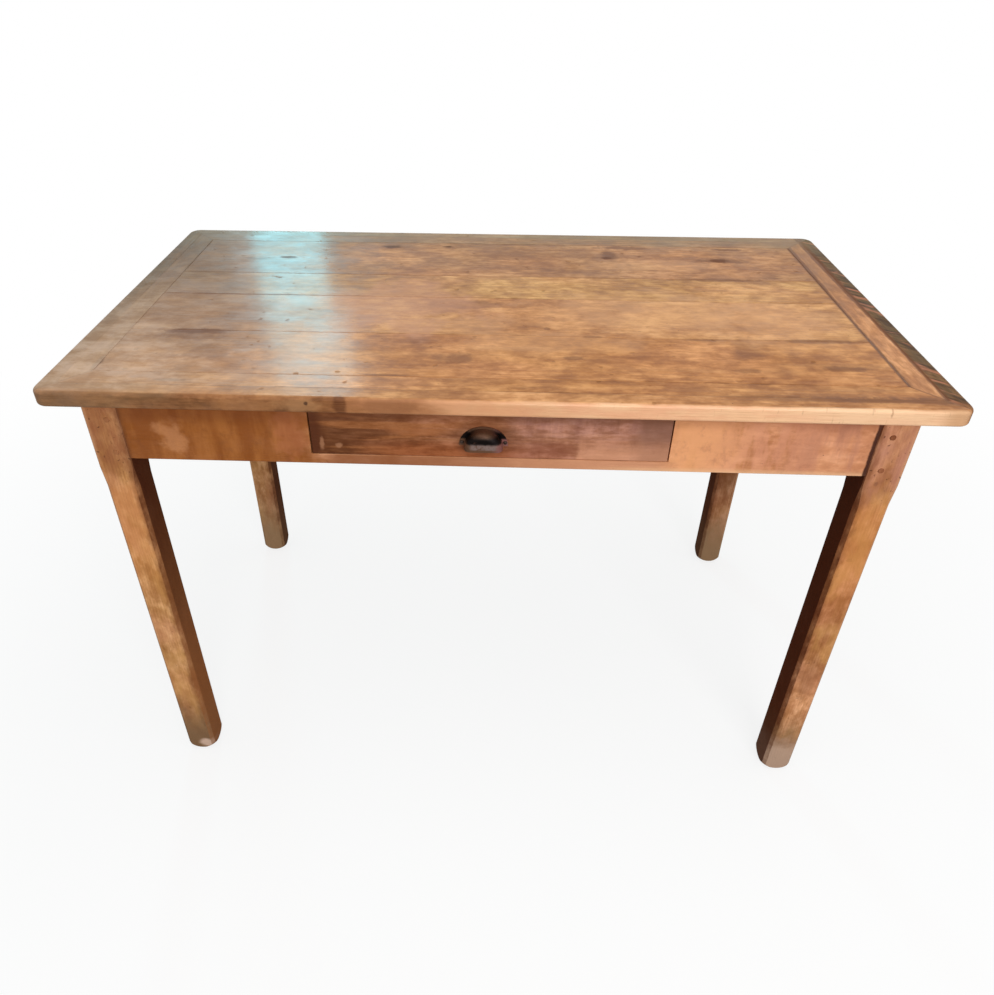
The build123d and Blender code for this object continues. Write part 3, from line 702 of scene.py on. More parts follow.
def settings(name):
    """One group of the sidebar's settings."""
    return getattr(bpy.context.scene, name)


def top_colours(**changes):
    """The colours of the table top, with some changed."""
    chosen = settings("table_top")
    colours = {
        "early": tuple(chosen.early_wood),
        "late": tuple(chosen.late_wood),
        "knot": tuple(chosen.knot_wood),
        "rose": tuple(chosen.rose_wood),
        "dirt": tuple(chosen.dirt),
        "bare": tone(214, 164, 112),
    }
    colours.update(changes)
    return colours


def frame_colours(**changes):
    """The colours of legs and aprons, with some changed."""
    chosen = settings("table_frame")
    colours = {
        "early": tuple(chosen.early_wood),
        "late": tuple(chosen.late_wood),
        "rose": tone(196, 124, 88),
        "knot": tone(66, 36, 22),
        "dirt": tone(78, 44, 26),
        "bare": tuple(chosen.bare_wood),
    }
    colours.update(changes)
    return colours


def box_colours():
    """The colours of the bare inner wood."""
    chosen = settings("table_drawer")
    return {
        "early": tuple(chosen.box_wood),
        "late": tuple(chosen.box_rings),
        "rose": tone(194, 150, 108),
        "knot": tone(110, 70, 40),
        "dirt": tone(120, 88, 56),
        "bare": tone(224, 196, 152),
    }


class TABLE_OT_top_boards(bpy.types.Operator):
    """Gives the long boards of the top their rings, knots, stains and dirty seams"""

    bl_idname = "table.top_boards"
    bl_label = "Top Boards"

    def execute(self, context):
        chosen = settings("table_top")
        tongue = chosen.tongue
        boards = [
            ("top_board_front", 3.1, (-0.02, -0.05), tone(200, 138, 78), tone(142, 82, 40)),
            ("top_board_mid_front", 7.7, (0.03, -0.08), tone(204, 147, 88), tone(148, 93, 50)),
            ("top_board_mid_back", 12.4, (-0.01, -0.045), tone(200, 148, 86), tone(142, 92, 48)),
            ("top_board_back", 19.9, (0.02, -0.07), tone(182, 130, 82), tone(126, 80, 44)),
        ]
        # Knots as distance across, distance along, radius and stretch, in metres
        knots = {
            "top_board_back": [
                (0.177, 0.381, 0.0095, 1.9),
                (0.183, 0.190, 0.007, 1.5),
                (0.222, -0.185, 0.009, 2.0),
                (0.226, -0.087, 0.0045, 2.2),
                (0.164, -0.361, 0.0055, 2.8),
            ],
        }
        for node, seed, pith, early, late in boards:
            low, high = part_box(node)
            low.x, high.x = low.x + tongue, high.x - tongue
            high.y -= tongue
            if node == "top_board_front":
                low.y += tongue
            board = Board(node, ALONG_X_ON_TOP, seed, low, high, pith)
            board.knots = knots.get(node, [])
            board.dirt_width = chosen.dirt_width
            board.dirt_amount = 0.4
            board.contrast = 0.36
            board.smudges = 0.5
            board.shine = 0.1
            board.coat = 0.28
            board.finish(top_colours(early=early, late=late), chosen.ring_spacing, self.stain)
        return {"FINISHED"}

    def stain(self, t, place, colour, edge):
        """The grey bloom at the left, then the stains: a smear, a burnt arch and small dark marks."""
        colour = bloom(t, place, colour)
        # Centre, reach, raggedness, scale of the ragged edge and strength of each stain
        stains = [
            ((-0.42, -0.125), (0.06, 0.01), 0.5, 60.0, 0.75),
            ((-0.425, -0.138), (0.055, 0.022), 0.8, 35.0, 0.45),
            ((-0.385, -0.185), (0.035, 0.03), 0.9, 35.0, 0.34),
            ((-0.48, 0.0), (0.06, 0.018), 0.8, 30.0, 0.3),
            ((-0.44, 0.0), (0.12, 0.2), 0.8, 20.0, 0.2),
            ((-0.4, -0.09), (0.1, 0.1), 0.8, 20.0, 0.18),
            ((-0.32, -0.1), (0.09, 0.14), 0.8, 20.0, 0.24),
            ((-0.53, -0.235), (0.05, 0.03), 0.8, 25.0, 0.2),
            ((0.1, 0.19), (0.16, 0.05), 0.8, 20.0, 0.22),
            ((0.196, 0.196), (0.018, 0.024), 0.6, 60.0, 0.75),
            ((0.222, 0.232), (0.055, 0.011), 0.6, 60.0, 0.7),
            ((0.385, 0.177), (0.06, 0.012), 0.8, 50.0, 0.6),
            ((0.408, 0.231), (0.035, 0.007), 0.6, 60.0, 0.7),
            ((0.36, 0.092), (0.08, 0.008), 0.6, 50.0, 0.6),
            ((0.45, -0.1225), (0.075, 0.0075), 0.5, 60.0, 0.75),
            ((0.29, -0.124), (0.045, 0.004), 0.5, 60.0, 0.55),
            ((0.137, -0.121), (0.02, 0.004), 0.5, 80.0, 0.6),
            ((0.343, -0.15), (0.03, 0.035), 0.9, 35.0, 0.35),
            ((0.454, -0.2), (0.04, 0.009), 0.7, 60.0, 0.6),
            ((0.327, -0.21), (0.022, 0.008), 0.6, 60.0, 0.45),
            ((0.104, -0.184), (0.02, 0.007), 0.6, 60.0, 0.5),
            ((-0.052, -0.191), (0.028, 0.014), 0.9, 50.0, 0.45),
            ((-0.04, -0.02), (0.07, 0.018), 0.9, 35.0, 0.4),
            ((-0.383, 0.005), (0.12, 0.004), 0.5, 60.0, 0.4),
            ((-0.137, -0.24), (0.035, 0.003), 0.5, 80.0, 0.6),
            ((0.074, -0.098), (0.006, 0.006), 0.5, 90.0, 0.6),
            ((0.224, 0.152), (0.006, 0.004), 0.5, 90.0, 0.5),
        ]
        for brown_and_painted_shade in stains:
            colour = top_mark(t, place, colour, *brown_and_painted_shade, tone(104, 58, 26))
        # Paler, more worn areas
        for centre, reach, strength in (
            ((0.24, -0.04), (0.2, 0.1), 0.34),
            ((0.4, -0.06), (0.12, 0.1), 0.3),
            ((0.26, 0.15), (0.12, 0.03), 0.25),
            ((-0.06, -0.09), (0.1, 0.04), 0.3),
            ((0.08, -0.14), (0.16, 0.04), 0.25),
        ):
            colour = top_mark(t, place, colour, centre, reach, 0.8, 18.0, strength, tone(228, 172, 122))
        # A pinkish area left of the middle
        colour = top_mark(t, place, colour, (-0.15, -0.03), (0.15, 0.12), 0.8, 18.0, 0.5, tone(194, 138, 108))
        x = t.parts(place)["X"]
        ended = t.step(t.math("SUBTRACT", BOARDS_END, x), 0.0008, 0.0045, 0.85, 0.0)
        colour = t.mix(ended, colour, tone(112, 66, 36))
        # The dash at the front left corner, which runs on over the strip beside the boards
        colour = top_mark(t, place, colour, *CORNER_DASH, 0.5, 80.0, 0.6, tone(92, 64, 40))
        return colour, None


class TABLE_OT_top_frame(bpy.types.Operator):
    """Gives the mitred inner strips of the top their grain and bloom"""

    bl_idname = "table.top_frame"
    bl_label = "Top Frame Strips"

    def execute(self, context):
        chosen = settings("table_top")
        strips = [
            ("top_band_front", ALONG_X_ON_TOP, 23.0, tone(204, 142, 82), tone(146, 88, 42)),
            ("top_band_back", ALONG_X_ON_TOP, 29.0, tone(166, 130, 92), tone(118, 86, 56)),
            ("top_band_left", ALONG_Y_ON_TOP, 31.0, tone(186, 142, 98), tone(138, 98, 62)),
            ("top_band_right", ALONG_Y_ON_TOP, 37.0, tone(222, 160, 106), tone(150, 96, 56)),
        ]
        for node, axes, seed, early, late in strips:
            board = Board(node, axes, seed, pith=(0.01, -0.05))
            board.dirt_width = 0.003
            board.dirt_amount = 0.4
            board.contrast = 0.5
            board.smudges = 0.6
            board.wander = 0.02
            board.shine = 0.1
            board.coat = 0.32 if node in ("top_band_back", "top_band_front") else 0.25
            board.finish(top_colours(early=early, late=late), chosen.ring_spacing * 0.8, self.mitres)
        return {"FINISHED"}

    def mitres(self, t, place, colour, edge):
        """Dirt along the mitres and the right end's joints, and a grey bloom at the left and the back."""
        chosen = settings("table_top")
        _, high = CAD_BOX
        x, y, _ = t.parts(place)
        from_side, from_front, mitre = from_edges(t, x, y)
        colour = t.mix(t.step(mitre, 0.0008, 0.0026, 0.5, 0.0), colour, tuple(chosen.dirt))
        ragged = t.noise(t.vector("SCALE", place, scale=55.0), 3.0, 0.6)[0]
        # The joints beside the right strip have opened and filled with dirt
        inner = t.math("ABSOLUTE", t.math("SUBTRACT", from_side, high.x - BOARDS_END))
        outer = t.math("ABSOLUTE", t.math("SUBTRACT", from_side, high.x - STRIPS_END))
        apart = t.math("MULTIPLY_ADD", ragged, -0.005, t.math("MINIMUM", inner, outer))
        cornered = t.step(t.math("SUBTRACT", from_front, from_side), -0.001, 0.0)
        righted = t.math("MULTIPLY", t.step(x, 0.4, 0.41), cornered)
        apart = t.math("ADD", apart, t.step(y, -0.1, 0.2, 0.0, -0.0032))
        opened = t.math("MULTIPLY", t.step(apart, -0.0014, 0.002, 0.85, 0.0), righted)
        backward = t.step(t.math("MULTIPLY_ADD", ragged, 0.2, y), 0.02, 0.24, 0.0, 0.6)
        dusky = t.math("MULTIPLY", t.step(x, 0.51, 0.525), backward)
        colour = t.mix(dusky, colour, tone(146, 100, 62))
        colour = t.mix(opened, colour, tone(108, 62, 32))
        scorched = t.math("MULTIPLY", t.step(y, -0.272, -0.262, 1.0, 0.0), t.step(x, 0.22, 0.46, 0.0, 0.7))
        colour = t.mix(t.math("MULTIPLY", scorched, t.step(ragged, 0.3, 0.55)), colour, tone(112, 68, 40))
        for centre, reach in (((-0.41, -0.263), (0.03, 0.004)), CORNER_DASH):
            colour = top_mark(t, place, colour, centre, reach, 0.5, 80.0, 0.7, tone(92, 64, 40))
        return bloom(t, place, colour), None


class TABLE_OT_edge_strips(bpy.types.Operator):
    """Gives the outer strips of the top their pale worn edges and nail holes"""

    bl_idname = "table.edge_strips"
    bl_label = "Edge Strips"

    def execute(self, context):
        chosen = settings("table_top")
        strips = [
            ("top_lipping_front", ALONG_X_ON_TOP, 41.0, tone(200, 142, 86), tone(150, 96, 50)),
            ("top_lipping_back", ALONG_X_ON_TOP, 43.0, tone(164, 138, 106), tone(120, 94, 64)),
            ("top_lipping_left", ALONG_Y_ON_TOP, 47.0, tone(164, 130, 94), tone(108, 82, 56)),
            ("top_lipping_right", ALONG_Y_ON_TOP, 53.0, tone(124, 92, 60), tone(72, 48, 30)),
        ]
        for node, axes, seed, early, late in strips:
            board = Board(node, axes, seed, pith=(-0.03, -0.05))
            board.dirt_width = 0.002
            board.dirt_amount = 0.35
            board.contrast = 0.5
            board.smudges = 0.55
            board.wander = 0.02
            coats = {"top_lipping_front": 0.26, "top_lipping_back": 0.3, "top_lipping_right": 0.04}
            board.coat = coats.get(node, 0.12)
            board.shine = 0.06 if node == "top_lipping_right" else 0.1
            board.finish(top_colours(early=early, late=late), chosen.ring_spacing * 0.8, self.edges)
        return {"FINISHED"}

    def edges(self, t, place, colour, edge):
        """Pales the front edge and darkens its left third, partly as wear and stain and partly as painted
        light and shade from the right front, and greys the back and the right end.
        """
        x, y, _ = t.parts(place)
        from_side, from_front, mitre = from_edges(t, x, y)
        colour = t.mix(t.step(mitre, 0.0006, 0.0022, 0.45, 0.0), colour, tone(86, 50, 28))
        cloudy = t.noise(t.vector("MULTIPLY", place, (14.0, 26.0, 60.0)), 4.0, 0.62)[0]
        colour = self.front(t, place, colour, cloudy, t.math("MINIMUM", from_side, from_front))
        colour = self.ends(t, place, colour, cloudy)
        greyed = bloom(t, place, colour)
        colour = t.mix(t.step(y, -0.298, -0.284, 0.2, 1.0), colour, greyed)
        return colour, None

    def front(self, t, place, colour, cloudy, outward):
        """The front edge: pale and paler to the right, brown at the left, partly from wear and stain and
        partly as painted light and shade from the right front, with cracks and a nail hole.
        """
        chosen = settings("table_top")
        x, y, _ = t.parts(place)
        onward = t.math("MULTIPLY_ADD", cloudy, 0.16, x)
        worn = t.step(t.math("MULTIPLY_ADD", cloudy, 0.006, outward), 0.004, 0.0085, 1.0, 0.0)
        frontal = t.math("MULTIPLY", worn, t.step(y, -0.294, -0.286, 1.0, 0.0))
        # Worn colour with painted light and shade: the face grows paler toward the right and browner toward
        # the left
        rosy = t.mix(t.step(cloudy, 0.4, 0.66), tuple(chosen.edge_wood), tone(244, 184, 144))
        rosy = t.mix(t.step(x, -0.02, 0.16, 0.5, 0.0), rosy, tone(204, 142, 94))
        rosy = t.mix(t.step(onward, -0.02, 0.06, 0.9, 0.0), rosy, tone(168, 110, 72))
        rosy = t.mix(t.step(x, 0.3, 0.42, 0.0, 0.6), rosy, tone(255, 214, 172))
        rosy = t.mix(t.step(x, 0.525, 0.552, 0.0, 0.75), rosy, tone(206, 158, 116))
        bright = t.math("MULTIPLY", frontal, t.step(onward, -0.19, -0.04, 0.0, 0.88))
        colour = t.mix(bright, colour, rosy)
        # The brown left part: stained wood, darkened further as painted shade
        brown = t.math(
            "MULTIPLY", t.step(y, -0.2985, -0.294, 1.0, 0.0), t.step(onward, -0.14, -0.06, 0.88, 0.0)
        )
        spotty = t.noise(t.vector("MULTIPLY", place, (50.0, 60.0, 110.0)), 4.0, 0.66)[0]
        brown_and_painted_shade = t.mix(t.step(cloudy, 0.38, 0.6), tone(146, 94, 54), tone(108, 64, 30))
        brown_and_painted_shade = t.mix(1.0, brown_and_painted_shade, t.warm(t.step(spotty, 0.34, 0.66, 0.66, 1.26)), "MULTIPLY")
        colour = t.mix(brown, colour, brown_and_painted_shade)
        # Patches of the left part: along the edge, level, reach along and up, scale, strength and shade
        for along, level, length, height, scale, strength, shade in (
            (-0.188, 0.74, 0.01, 0.03, 90.0, 0.75, tone(92, 48, 22)),
            (-0.236, 0.739, 0.035, 0.012, 60.0, 0.45, tone(188, 138, 92)),
            (-0.305, 0.737, 0.05, 0.012, 60.0, 0.45, tone(176, 120, 74)),
            (-0.41, 0.738, 0.05, 0.016, 60.0, 0.4, tone(98, 56, 24)),
            (-0.13, 0.739, 0.05, 0.016, 60.0, 0.3, tone(98, 52, 22)),
        ):
            centre, reach = (along, TOP_FRONT, level), (length, 0.01, height)
            colour = mark(t, place, colour, centre, reach, 0.6, scale, strength, shade)
        # Fine grain and short cracks across the worn face
        fine = t.noise(t.vector("MULTIPLY", place, (26.0, 60.0, 520.0)), 3.0, 0.6)[0]
        lined = t.math("MULTIPLY", t.step(fine, 0.5, 0.66, 0.0, 0.2), frontal)
        colour = t.mix(lined, colour, tone(186, 124, 78))
        cracks = t.noise(t.vector("MULTIPLY", place, (240.0, 30.0, 46.0)), 2.0)[0]
        cracked = t.math("MULTIPLY", t.step(cracks, 0.62, 0.74), t.step(x, 0.05, 0.4, 0.05, 0.25))
        colour = t.mix(t.math("MULTIPLY", cracked, frontal), colour, tone(132, 80, 46))
        split = (0.474, TOP_FRONT, 0.746)
        colour = mark(t, place, colour, split, (0.0016, 0.01, 0.009), 0.6, 220.0, 0.4, tone(132, 82, 50))
        ragged = t.noise(t.vector("SCALE", place, scale=50.0), 3.0, 0.6)[0]
        behind = t.math("MULTIPLY_ADD", ragged, 0.008, y)
        seam = t.math(
            "MULTIPLY", t.step(behind, -0.282, -0.276, 0.0, 1.0), t.step(y, -0.27, -0.265, 1.0, 0.0)
        )
        colour = t.mix(t.math("MULTIPLY", seam, t.step(x, 0.2, 0.44, 0.0, 0.8)), colour, tone(112, 66, 38))
        nail = (-0.2295, TOP_FRONT, 0.742)
        return mark(t, place, colour, nail, (0.0034, 0.004, 0.0034), 0.3, 300.0, 0.85, tone(62, 36, 22))

    def ends(self, t, place, colour, cloudy):
        """The two ends: grey-green, with dark and russet streaks at the right, mottled at the left."""
        x, y, _ = t.parts(place)
        right = t.step(t.math("MULTIPLY_ADD", cloudy, 0.05, x), 0.56, 0.59, 0.0, 0.75)
        right = t.math("MULTIPLY", right, t.step(y, -0.29, -0.27))
        right = t.math("MULTIPLY", right, t.step(y, -0.26, -0.1, 0.75, 1.0))
        colour = t.mix(right, colour, tone(96, 78, 50))
        turned = t.node(
            "ShaderNodeVectorRotate", {"Vector": place, "Angle": 0.7}, rotation_type="Z_AXIS"
        ).outputs[0]
        streaked = t.noise(t.vector("MULTIPLY", turned, (14.0, 70.0, 20.0)), 3.0, 0.6)[0]
        upward = facing(t, (0.0, 0.0, 1.0), 0.3, 0.8)
        ended = t.math("MULTIPLY", t.step(x, 0.545, 0.556), t.step(y, -0.29, -0.27))
        ended = t.math("MULTIPLY", ended, t.step(upward, 0.0, 1.0, 0.25, 1.0))
        dark = t.math("MULTIPLY", ended, t.step(streaked, 0.46, 0.58, 0.0, 0.85))
        colour = t.mix(dark, colour, tone(74, 52, 34))
        russet = t.noise(t.vector("MULTIPLY", turned, (20.0, 90.0, 30.0)), 2.0, 0.5)[0]
        russet = t.math("MULTIPLY", ended, t.step(russet, 0.54, 0.64, 0.0, 0.75))
        colour = t.mix(russet, colour, tone(184, 120, 88))
        ragged = t.noise(t.vector("SCALE", place, scale=55.0), 3.0, 0.6)[0]
        # The joint beside the right strip has opened, more so toward the back
        apart = t.math("ABSOLUTE", t.math("SUBTRACT", x, STRIPS_END))
        apart = t.math("MULTIPLY_ADD", ragged, -0.005, apart)
        apart = t.math("ADD", apart, t.step(y, -0.1, 0.2, 0.0, -0.0032))
        opened = t.math("MULTIPLY", t.step(apart, -0.0014, 0.002, 0.85, 0.0), t.step(y, -0.275, -0.274))
        colour = t.mix(opened, colour, tone(106, 62, 34))
        outer = t.step(t.math("MULTIPLY_ADD", cloudy, 0.02, x), -0.562, -0.545, 1.0, 0.0)
        leftward = t.math("MULTIPLY", outer, t.step(streaked, 0.42, 0.54, 0.0, 0.75))
        leftward = t.math("MULTIPLY", leftward, t.step(y, -0.2, 0.0, 0.35, 1.0))
        colour = t.mix(leftward, colour, tone(84, 74, 56))
        greyer = t.math("MULTIPLY", outer, t.step(y, -0.2, 0.0, 0.0, 0.35))
        colour = t.mix(greyer, colour, tone(110, 92, 70))
        return top_mark(t, place, colour, (-0.52, -0.287), (0.14, 0.035), 0.7, 25.0, 0.35, tone(124, 98, 66))


class TABLE_OT_legs(bpy.types.Operator):
    """Gives the legs their grain, worn arrises, painted shade on their inner faces, dirty feet and a pale rim
    with a painted highlight on the front feet
    """

    bl_idname = "table.legs"
    bl_label = "Legs"

    def execute(self, context):
        chosen = settings("table_frame")
        # Each leg's pale and dark wood, the painted shade low on its inner faces, and the bruise near its
        # joint
        legs = [
            ("leg_front_left", 61.0, (238, 184, 124), (178, 122, 72), (158, 98, 56), (158, 98, 66)),
            ("leg_front_right", 67.0, (216, 154, 106), (158, 102, 60), (78, 28, 6), (192, 132, 110)),
            ("leg_back_left", 71.0, (228, 172, 118), (156, 108, 68), (74, 38, 20), (140, 94, 60)),
            ("leg_back_right", 73.0, (228, 168, 120), (156, 104, 68), (74, 32, 14), (112, 60, 34)),
        ]
        for node, seed, *shades in legs:
            early, late, self.lower_shade, self.bruise = (tone(*shade) for shade in shades)
            board = Board(node, ALONG_Z, seed, pith=(0.06, -0.09))
            board.dirt_width = 0.0014
            board.dirt_amount = 0.25
            board.contrast = 0.45
            board.smudges = 0.5
            board.wander = 0.014
            board.shine = 0.06
            board.coat = 0.02
            # The pale place low on the front feet, bare wood with a painted highlight: where along the table,
            # its level, reach, raggedness and strength
            rims = {
                "leg_front_left": (-0.492, 0.018, 0.014, 0.5, 0.7),
                "leg_front_right": (0.503, 0.02, 0.075, 0.3, 0.4),
            }
            self.rim = rims.get(node)
            # The back feet are painted paler than the front ones: painted light that makes up for the weaker
            # light at the back
            self.foot = tuple(chosen.foot_wood) if self.rim else tone(158, 126, 94)
            centre = (board.low + board.high) / 2
            self.centre = centre
            self.inward = Vector((-math.copysign(1.0, centre.x), -math.copysign(1.0, centre.y), 0.0))
            board.finish(frame_colours(early=early, late=late), chosen.ring_spacing, self.faces)
        return {"FINISHED"}

    def faces(self, t, place, colour, edge):
        """Paints shade on the faces under the table and beside their inner arrises, dirties the feet, lays
        bare wood with a painted highlight on the front feet's rim and bruises the wood near the joints.
        """
        chosen = settings("table_frame")
        x, _, z = t.parts(place)
        cloudy = t.noise(t.vector("MULTIPLY", place, (34.0, 34.0, 15.0)), 4.0, 0.62)[0]
        hazy = t.noise(t.vector("MULTIPLY", place, (16.0, 16.0, 9.0)), 3.0, 0.55)[0]
        colour = t.mix(t.step(cloudy, 0.48, 0.68, 0.0, 0.45), colour, tone(150, 96, 52))
        colour = t.mix(t.step(hazy, 0.36, 0.5, 0.4, 0.0), colour, tone(214, 160, 92))
        colour = t.mix(t.step(hazy, 0.5, 0.66, 0.0, 0.4), colour, tone(212, 144, 108))
        height = t.math("MULTIPLY_ADD", t.math("SUBTRACT", cloudy, 0.5), 0.12, z)
        if self.centre.y > 0.0 < self.centre.x:
            colour = t.mix(t.step(height, 0.14, 0.26, 0.0, 0.55), colour, self.bruise)
        amber = t.math("MULTIPLY", t.step(height, 0.36, 0.48, 0.0, 0.4), t.step(height, 0.56, 0.62, 1.0, 0.0))
        colour = t.mix(amber, colour, tone(222, 146, 82))
        bruise = t.math(
            "MULTIPLY", t.step(height, 0.56, 0.68, 0.0, 0.8), t.step(cloudy, 0.25, 0.65, 0.35, 1.0)
        )
        colour = t.mix(bruise, colour, self.bruise)
        rubbed = t.math("MULTIPLY", t.step(edge, 0.001, 0.006, 0.5, 0.0), t.step(cloudy, 0.36, 0.5))
        colour = t.mix(rubbed, colour, tuple(chosen.bare_wood))
        shaken = t.noise(t.vector("MULTIPLY", place, (60.0, 60.0, 24.0)), 4.0, 0.65)[0]
        # Painted shade on the faces near the inner arris, where they turn toward the shaded inner faces
        toward = t.math("MULTIPLY", t.math("SUBTRACT", x, self.centre.x), self.inward.x)
        painted_arris_shade = t.step(t.math("MULTIPLY_ADD", shaken, 0.024, toward), 0.022, 0.035, 0.0, 0.7)
        colour = t.mix(painted_arris_shade, colour, tone(120, 66, 36))
        # Painted shade: faces that point under the table are darkened strongly and those that point to the
        # back lightly, by their direction alone
        ragged = t.math("MULTIPLY_ADD", shaken, 0.6, -0.3)
        sideways = facing(t, (self.inward.x, 0.0, 0.0), 0.45, 0.92, ragged)
        backward = facing(t, (0.0, self.inward.y, 0.0), 0.7, 0.98)
        shade = t.math("MAXIMUM", t.math("MULTIPLY", sideways, 0.9), t.math("MULTIPLY", backward, 0.3))
        brown_and_painted_shade = t.mix(t.step(height, 0.1, 0.64, 0.9, 0.0), tuple(chosen.painted_shade_wood), self.lower_shade)
        colour = t.mix(shade, colour, brown_and_painted_shade)
        lit = t.math("SUBTRACT", 1.0, t.math("MULTIPLY", sideways, 0.85))
        foot = t.step(height, chosen.foot_height * 0.5, chosen.foot_height * 2.2, 0.9, 0.0)
        foot = t.math("MULTIPLY", foot, lit)
        colour = t.mix(foot, colour, self.foot)
        # Bare wood and a painted highlight on the rim low on the front feet, which faces down and gets little
        # light
        if self.rim:
            along, level, reach, ragged, bared_and_highlighted = self.rim
            centre, spread = (along, -0.278, level), (reach * 1.2, reach + 0.02, reach)
            strength = t.math("MULTIPLY", lit, bared_and_highlighted)
            colour = mark(t, place, colour, centre, spread, ragged, 50.0, strength, tuple(chosen.rim_bare_wood_and_highlight))
        apart = t.vector("SUBTRACT", place, tuple(self.centre))
        speck = t.noise(t.vector("SCALE", apart, scale=210.0), 1.0)[0]
        knotty, faint = (0.503, FRAME_FRONT, 0.24), t.math("MULTIPLY", lit, 0.35)
        colour = mark(t, place, colour, knotty, (0.018, 0.03, 0.06), 0.9, 40.0, faint, tone(112, 68, 36))
        worm = t.math("MULTIPLY", t.step(speck, 0.7, 0.75), t.step(z, 0.58, 0.62, 0.0, 0.7))
        return t.mix(worm, colour, tone(72, 40, 30)), t.math("MAXIMUM", shade, foot)


class TABLE_OT_aprons(bpy.types.Operator):
    """Gives the aprons their grain, patches, painted shade on the inner faces and a painted shadow below the
    top
    """

    bl_idname = "table.aprons"
    bl_label = "Aprons"

    def execute(self, context):
        chosen = settings("table_frame")
        aprons = [
            ("apron_front", ALONG_X_UPRIGHT, 83.0, tone(236, 170, 122), tone(198, 130, 86), (0.0, 1.0, 0.0)),
            ("apron_back", ALONG_X_UPRIGHT, 89.0, tone(184, 124, 78), tone(138, 86, 48), (0.0, -1.0, 0.0)),
            ("apron_left", ALONG_Y_UPRIGHT, 97.0, tone(172, 110, 64), tone(124, 74, 38), (1.0, 0.0, 0.0)),
            ("apron_right", ALONG_Y_UPRIGHT, 101.0, tone(188, 126, 82), tone(140, 84, 48), (-1.0, 0.0, 0.0)),
        ]
        for node, axes, seed, early, late, inward in aprons:
            board = Board(node, axes, seed, pith=(0.02, -0.07))
            board.dirt_width = 0.002
            board.dirt_amount = 0.35
            board.contrast = 0.4
            board.smudges = 0.35
            self.node = node
            self.inward = inward
            board.finish(frame_colours(early=early, late=late), chosen.ring_spacing, self.patches)
        return {"FINISHED"}

    def patches(self, t, place, colour, edge):
        """Paints shade on the faces of the aprons that point under the table, and a painted shadow below the
        top.
        """
        chosen = settings("table_frame")
        x, _, z = t.parts(place)
        cloudy = t.noise(t.vector("SCALE", place, scale=16.0), 4.0, 0.6)[0]
        if self.node == "apron_front":
            colour = self.face(t, place, colour, cloudy)
        else:
            colour = t.mix(t.step(cloudy, 0.6, 0.72, 0.0, 0.3), colour, tuple(chosen.bruise))
        # Painted shadow of the top's overhang along the upper edge
        under = t.step(t.math("MULTIPLY_ADD", x, -0.016, z), 0.694, 0.715, 0.0, 0.42)
        colour = t.mix(under, colour, tone(112, 58, 30))
        # Painted shade on the face that points under the table
        shade = t.math("MULTIPLY", facing(t, self.inward), 0.7)
        return t.mix(shade, colour, tuple(chosen.painted_shade_wood)), shade

    def face(self, t, place, colour, cloudy):
        """The front apron's face: brown at the left, russet below the drawer, salmon at the right."""
        chosen = settings("table_frame")
        x, _, z = t.parts(place)
        upright = t.noise(t.vector("MULTIPLY", place, (38.0, 38.0, 8.0)), 4.0, 0.62)[0]
        mottled = t.noise(t.vector("MULTIPLY", place, (70.0, 70.0, 50.0)), 4.0, 0.65)[0]
        # The brown left end and the salmon and gold right end are partly the wood's own tone, partly painted
        # shade at the left and painted light at the right, from light falling from the right front
        left = t.step(t.math("MULTIPLY_ADD", cloudy, 0.06, x), -0.23, -0.17, 0.92, 0.0)
        wine = t.mix(t.step(upright, 0.36, 0.68), tone(138, 74, 22), tone(168, 102, 46))
        wine = t.mix(t.step(mottled, 0.5, 0.7, 0.0, 0.35), wine, tone(116, 62, 24))
        colour = t.mix(left, colour, wine)
        blush = (-0.418, FRAME_FRONT, 0.672)
        colour = mark(t, place, colour, blush, (0.024, 1.0, 0.03), 0.9, 45.0, 0.45, tone(216, 152, 104))
        pinkish = (-0.262, FRAME_FRONT, 0.68)
        colour = mark(t, place, colour, pinkish, (0.026, 1.0, 0.045), 0.9, 45.0, 0.4, tone(192, 118, 80))
        righted = t.step(x, 0.21, 0.24)
        salmon = t.math("MULTIPLY", righted, t.step(upright, 0.42, 0.58, 0.0, 0.65))
        colour = t.mix(salmon, colour, tone(226, 158, 124))
        onward = t.math("MULTIPLY_ADD", cloudy, 0.1, x)
        golden = t.math("MULTIPLY", righted, t.step(onward, 0.3, 0.39, 0.75, 0.0))
        colour = t.mix(golden, colour, tone(242, 172, 118))
        duller = t.math("MULTIPLY", t.step(onward, 0.36, 0.46), 0.4)
        colour = t.mix(duller, colour, tone(204, 136, 102))
        scaly = t.math("MULTIPLY", righted, t.step(mottled, 0.5, 0.74, 0.0, 0.4))
        colour = t.mix(scaly, colour, tone(172, 110, 80))
        # The rail under the drawer goes from russet at the left to salmon at the right
        low = t.step(z, 0.65, 0.654, 0.85, 0.0)
        middle = t.math("MULTIPLY", t.step(x, -0.24, -0.2), t.step(x, 0.2, 0.25, 1.0, 0.0))
        middle = t.math("MULTIPLY", low, middle)
        rail = t.mix(t.step(onward, -0.12, 0.2), tone(140, 82, 48), tone(214, 152, 116))
        colour = t.mix(middle, colour, rail)
        darkened = t.math("MULTIPLY", t.step(x, 0.34, 0.46), t.step(upright, 0.4, 0.7, 0.0, 0.6))
        colour = t.mix(darkened, colour, tuple(chosen.bruise))
        # Painted highlight along the lower arris at the right
        bright = t.math("MULTIPLY", t.step(z, 0.637, 0.646, 0.7, 0.0), t.step(x, 0.1, 0.2))
        colour = t.mix(bright, colour, tone(240, 188, 144))
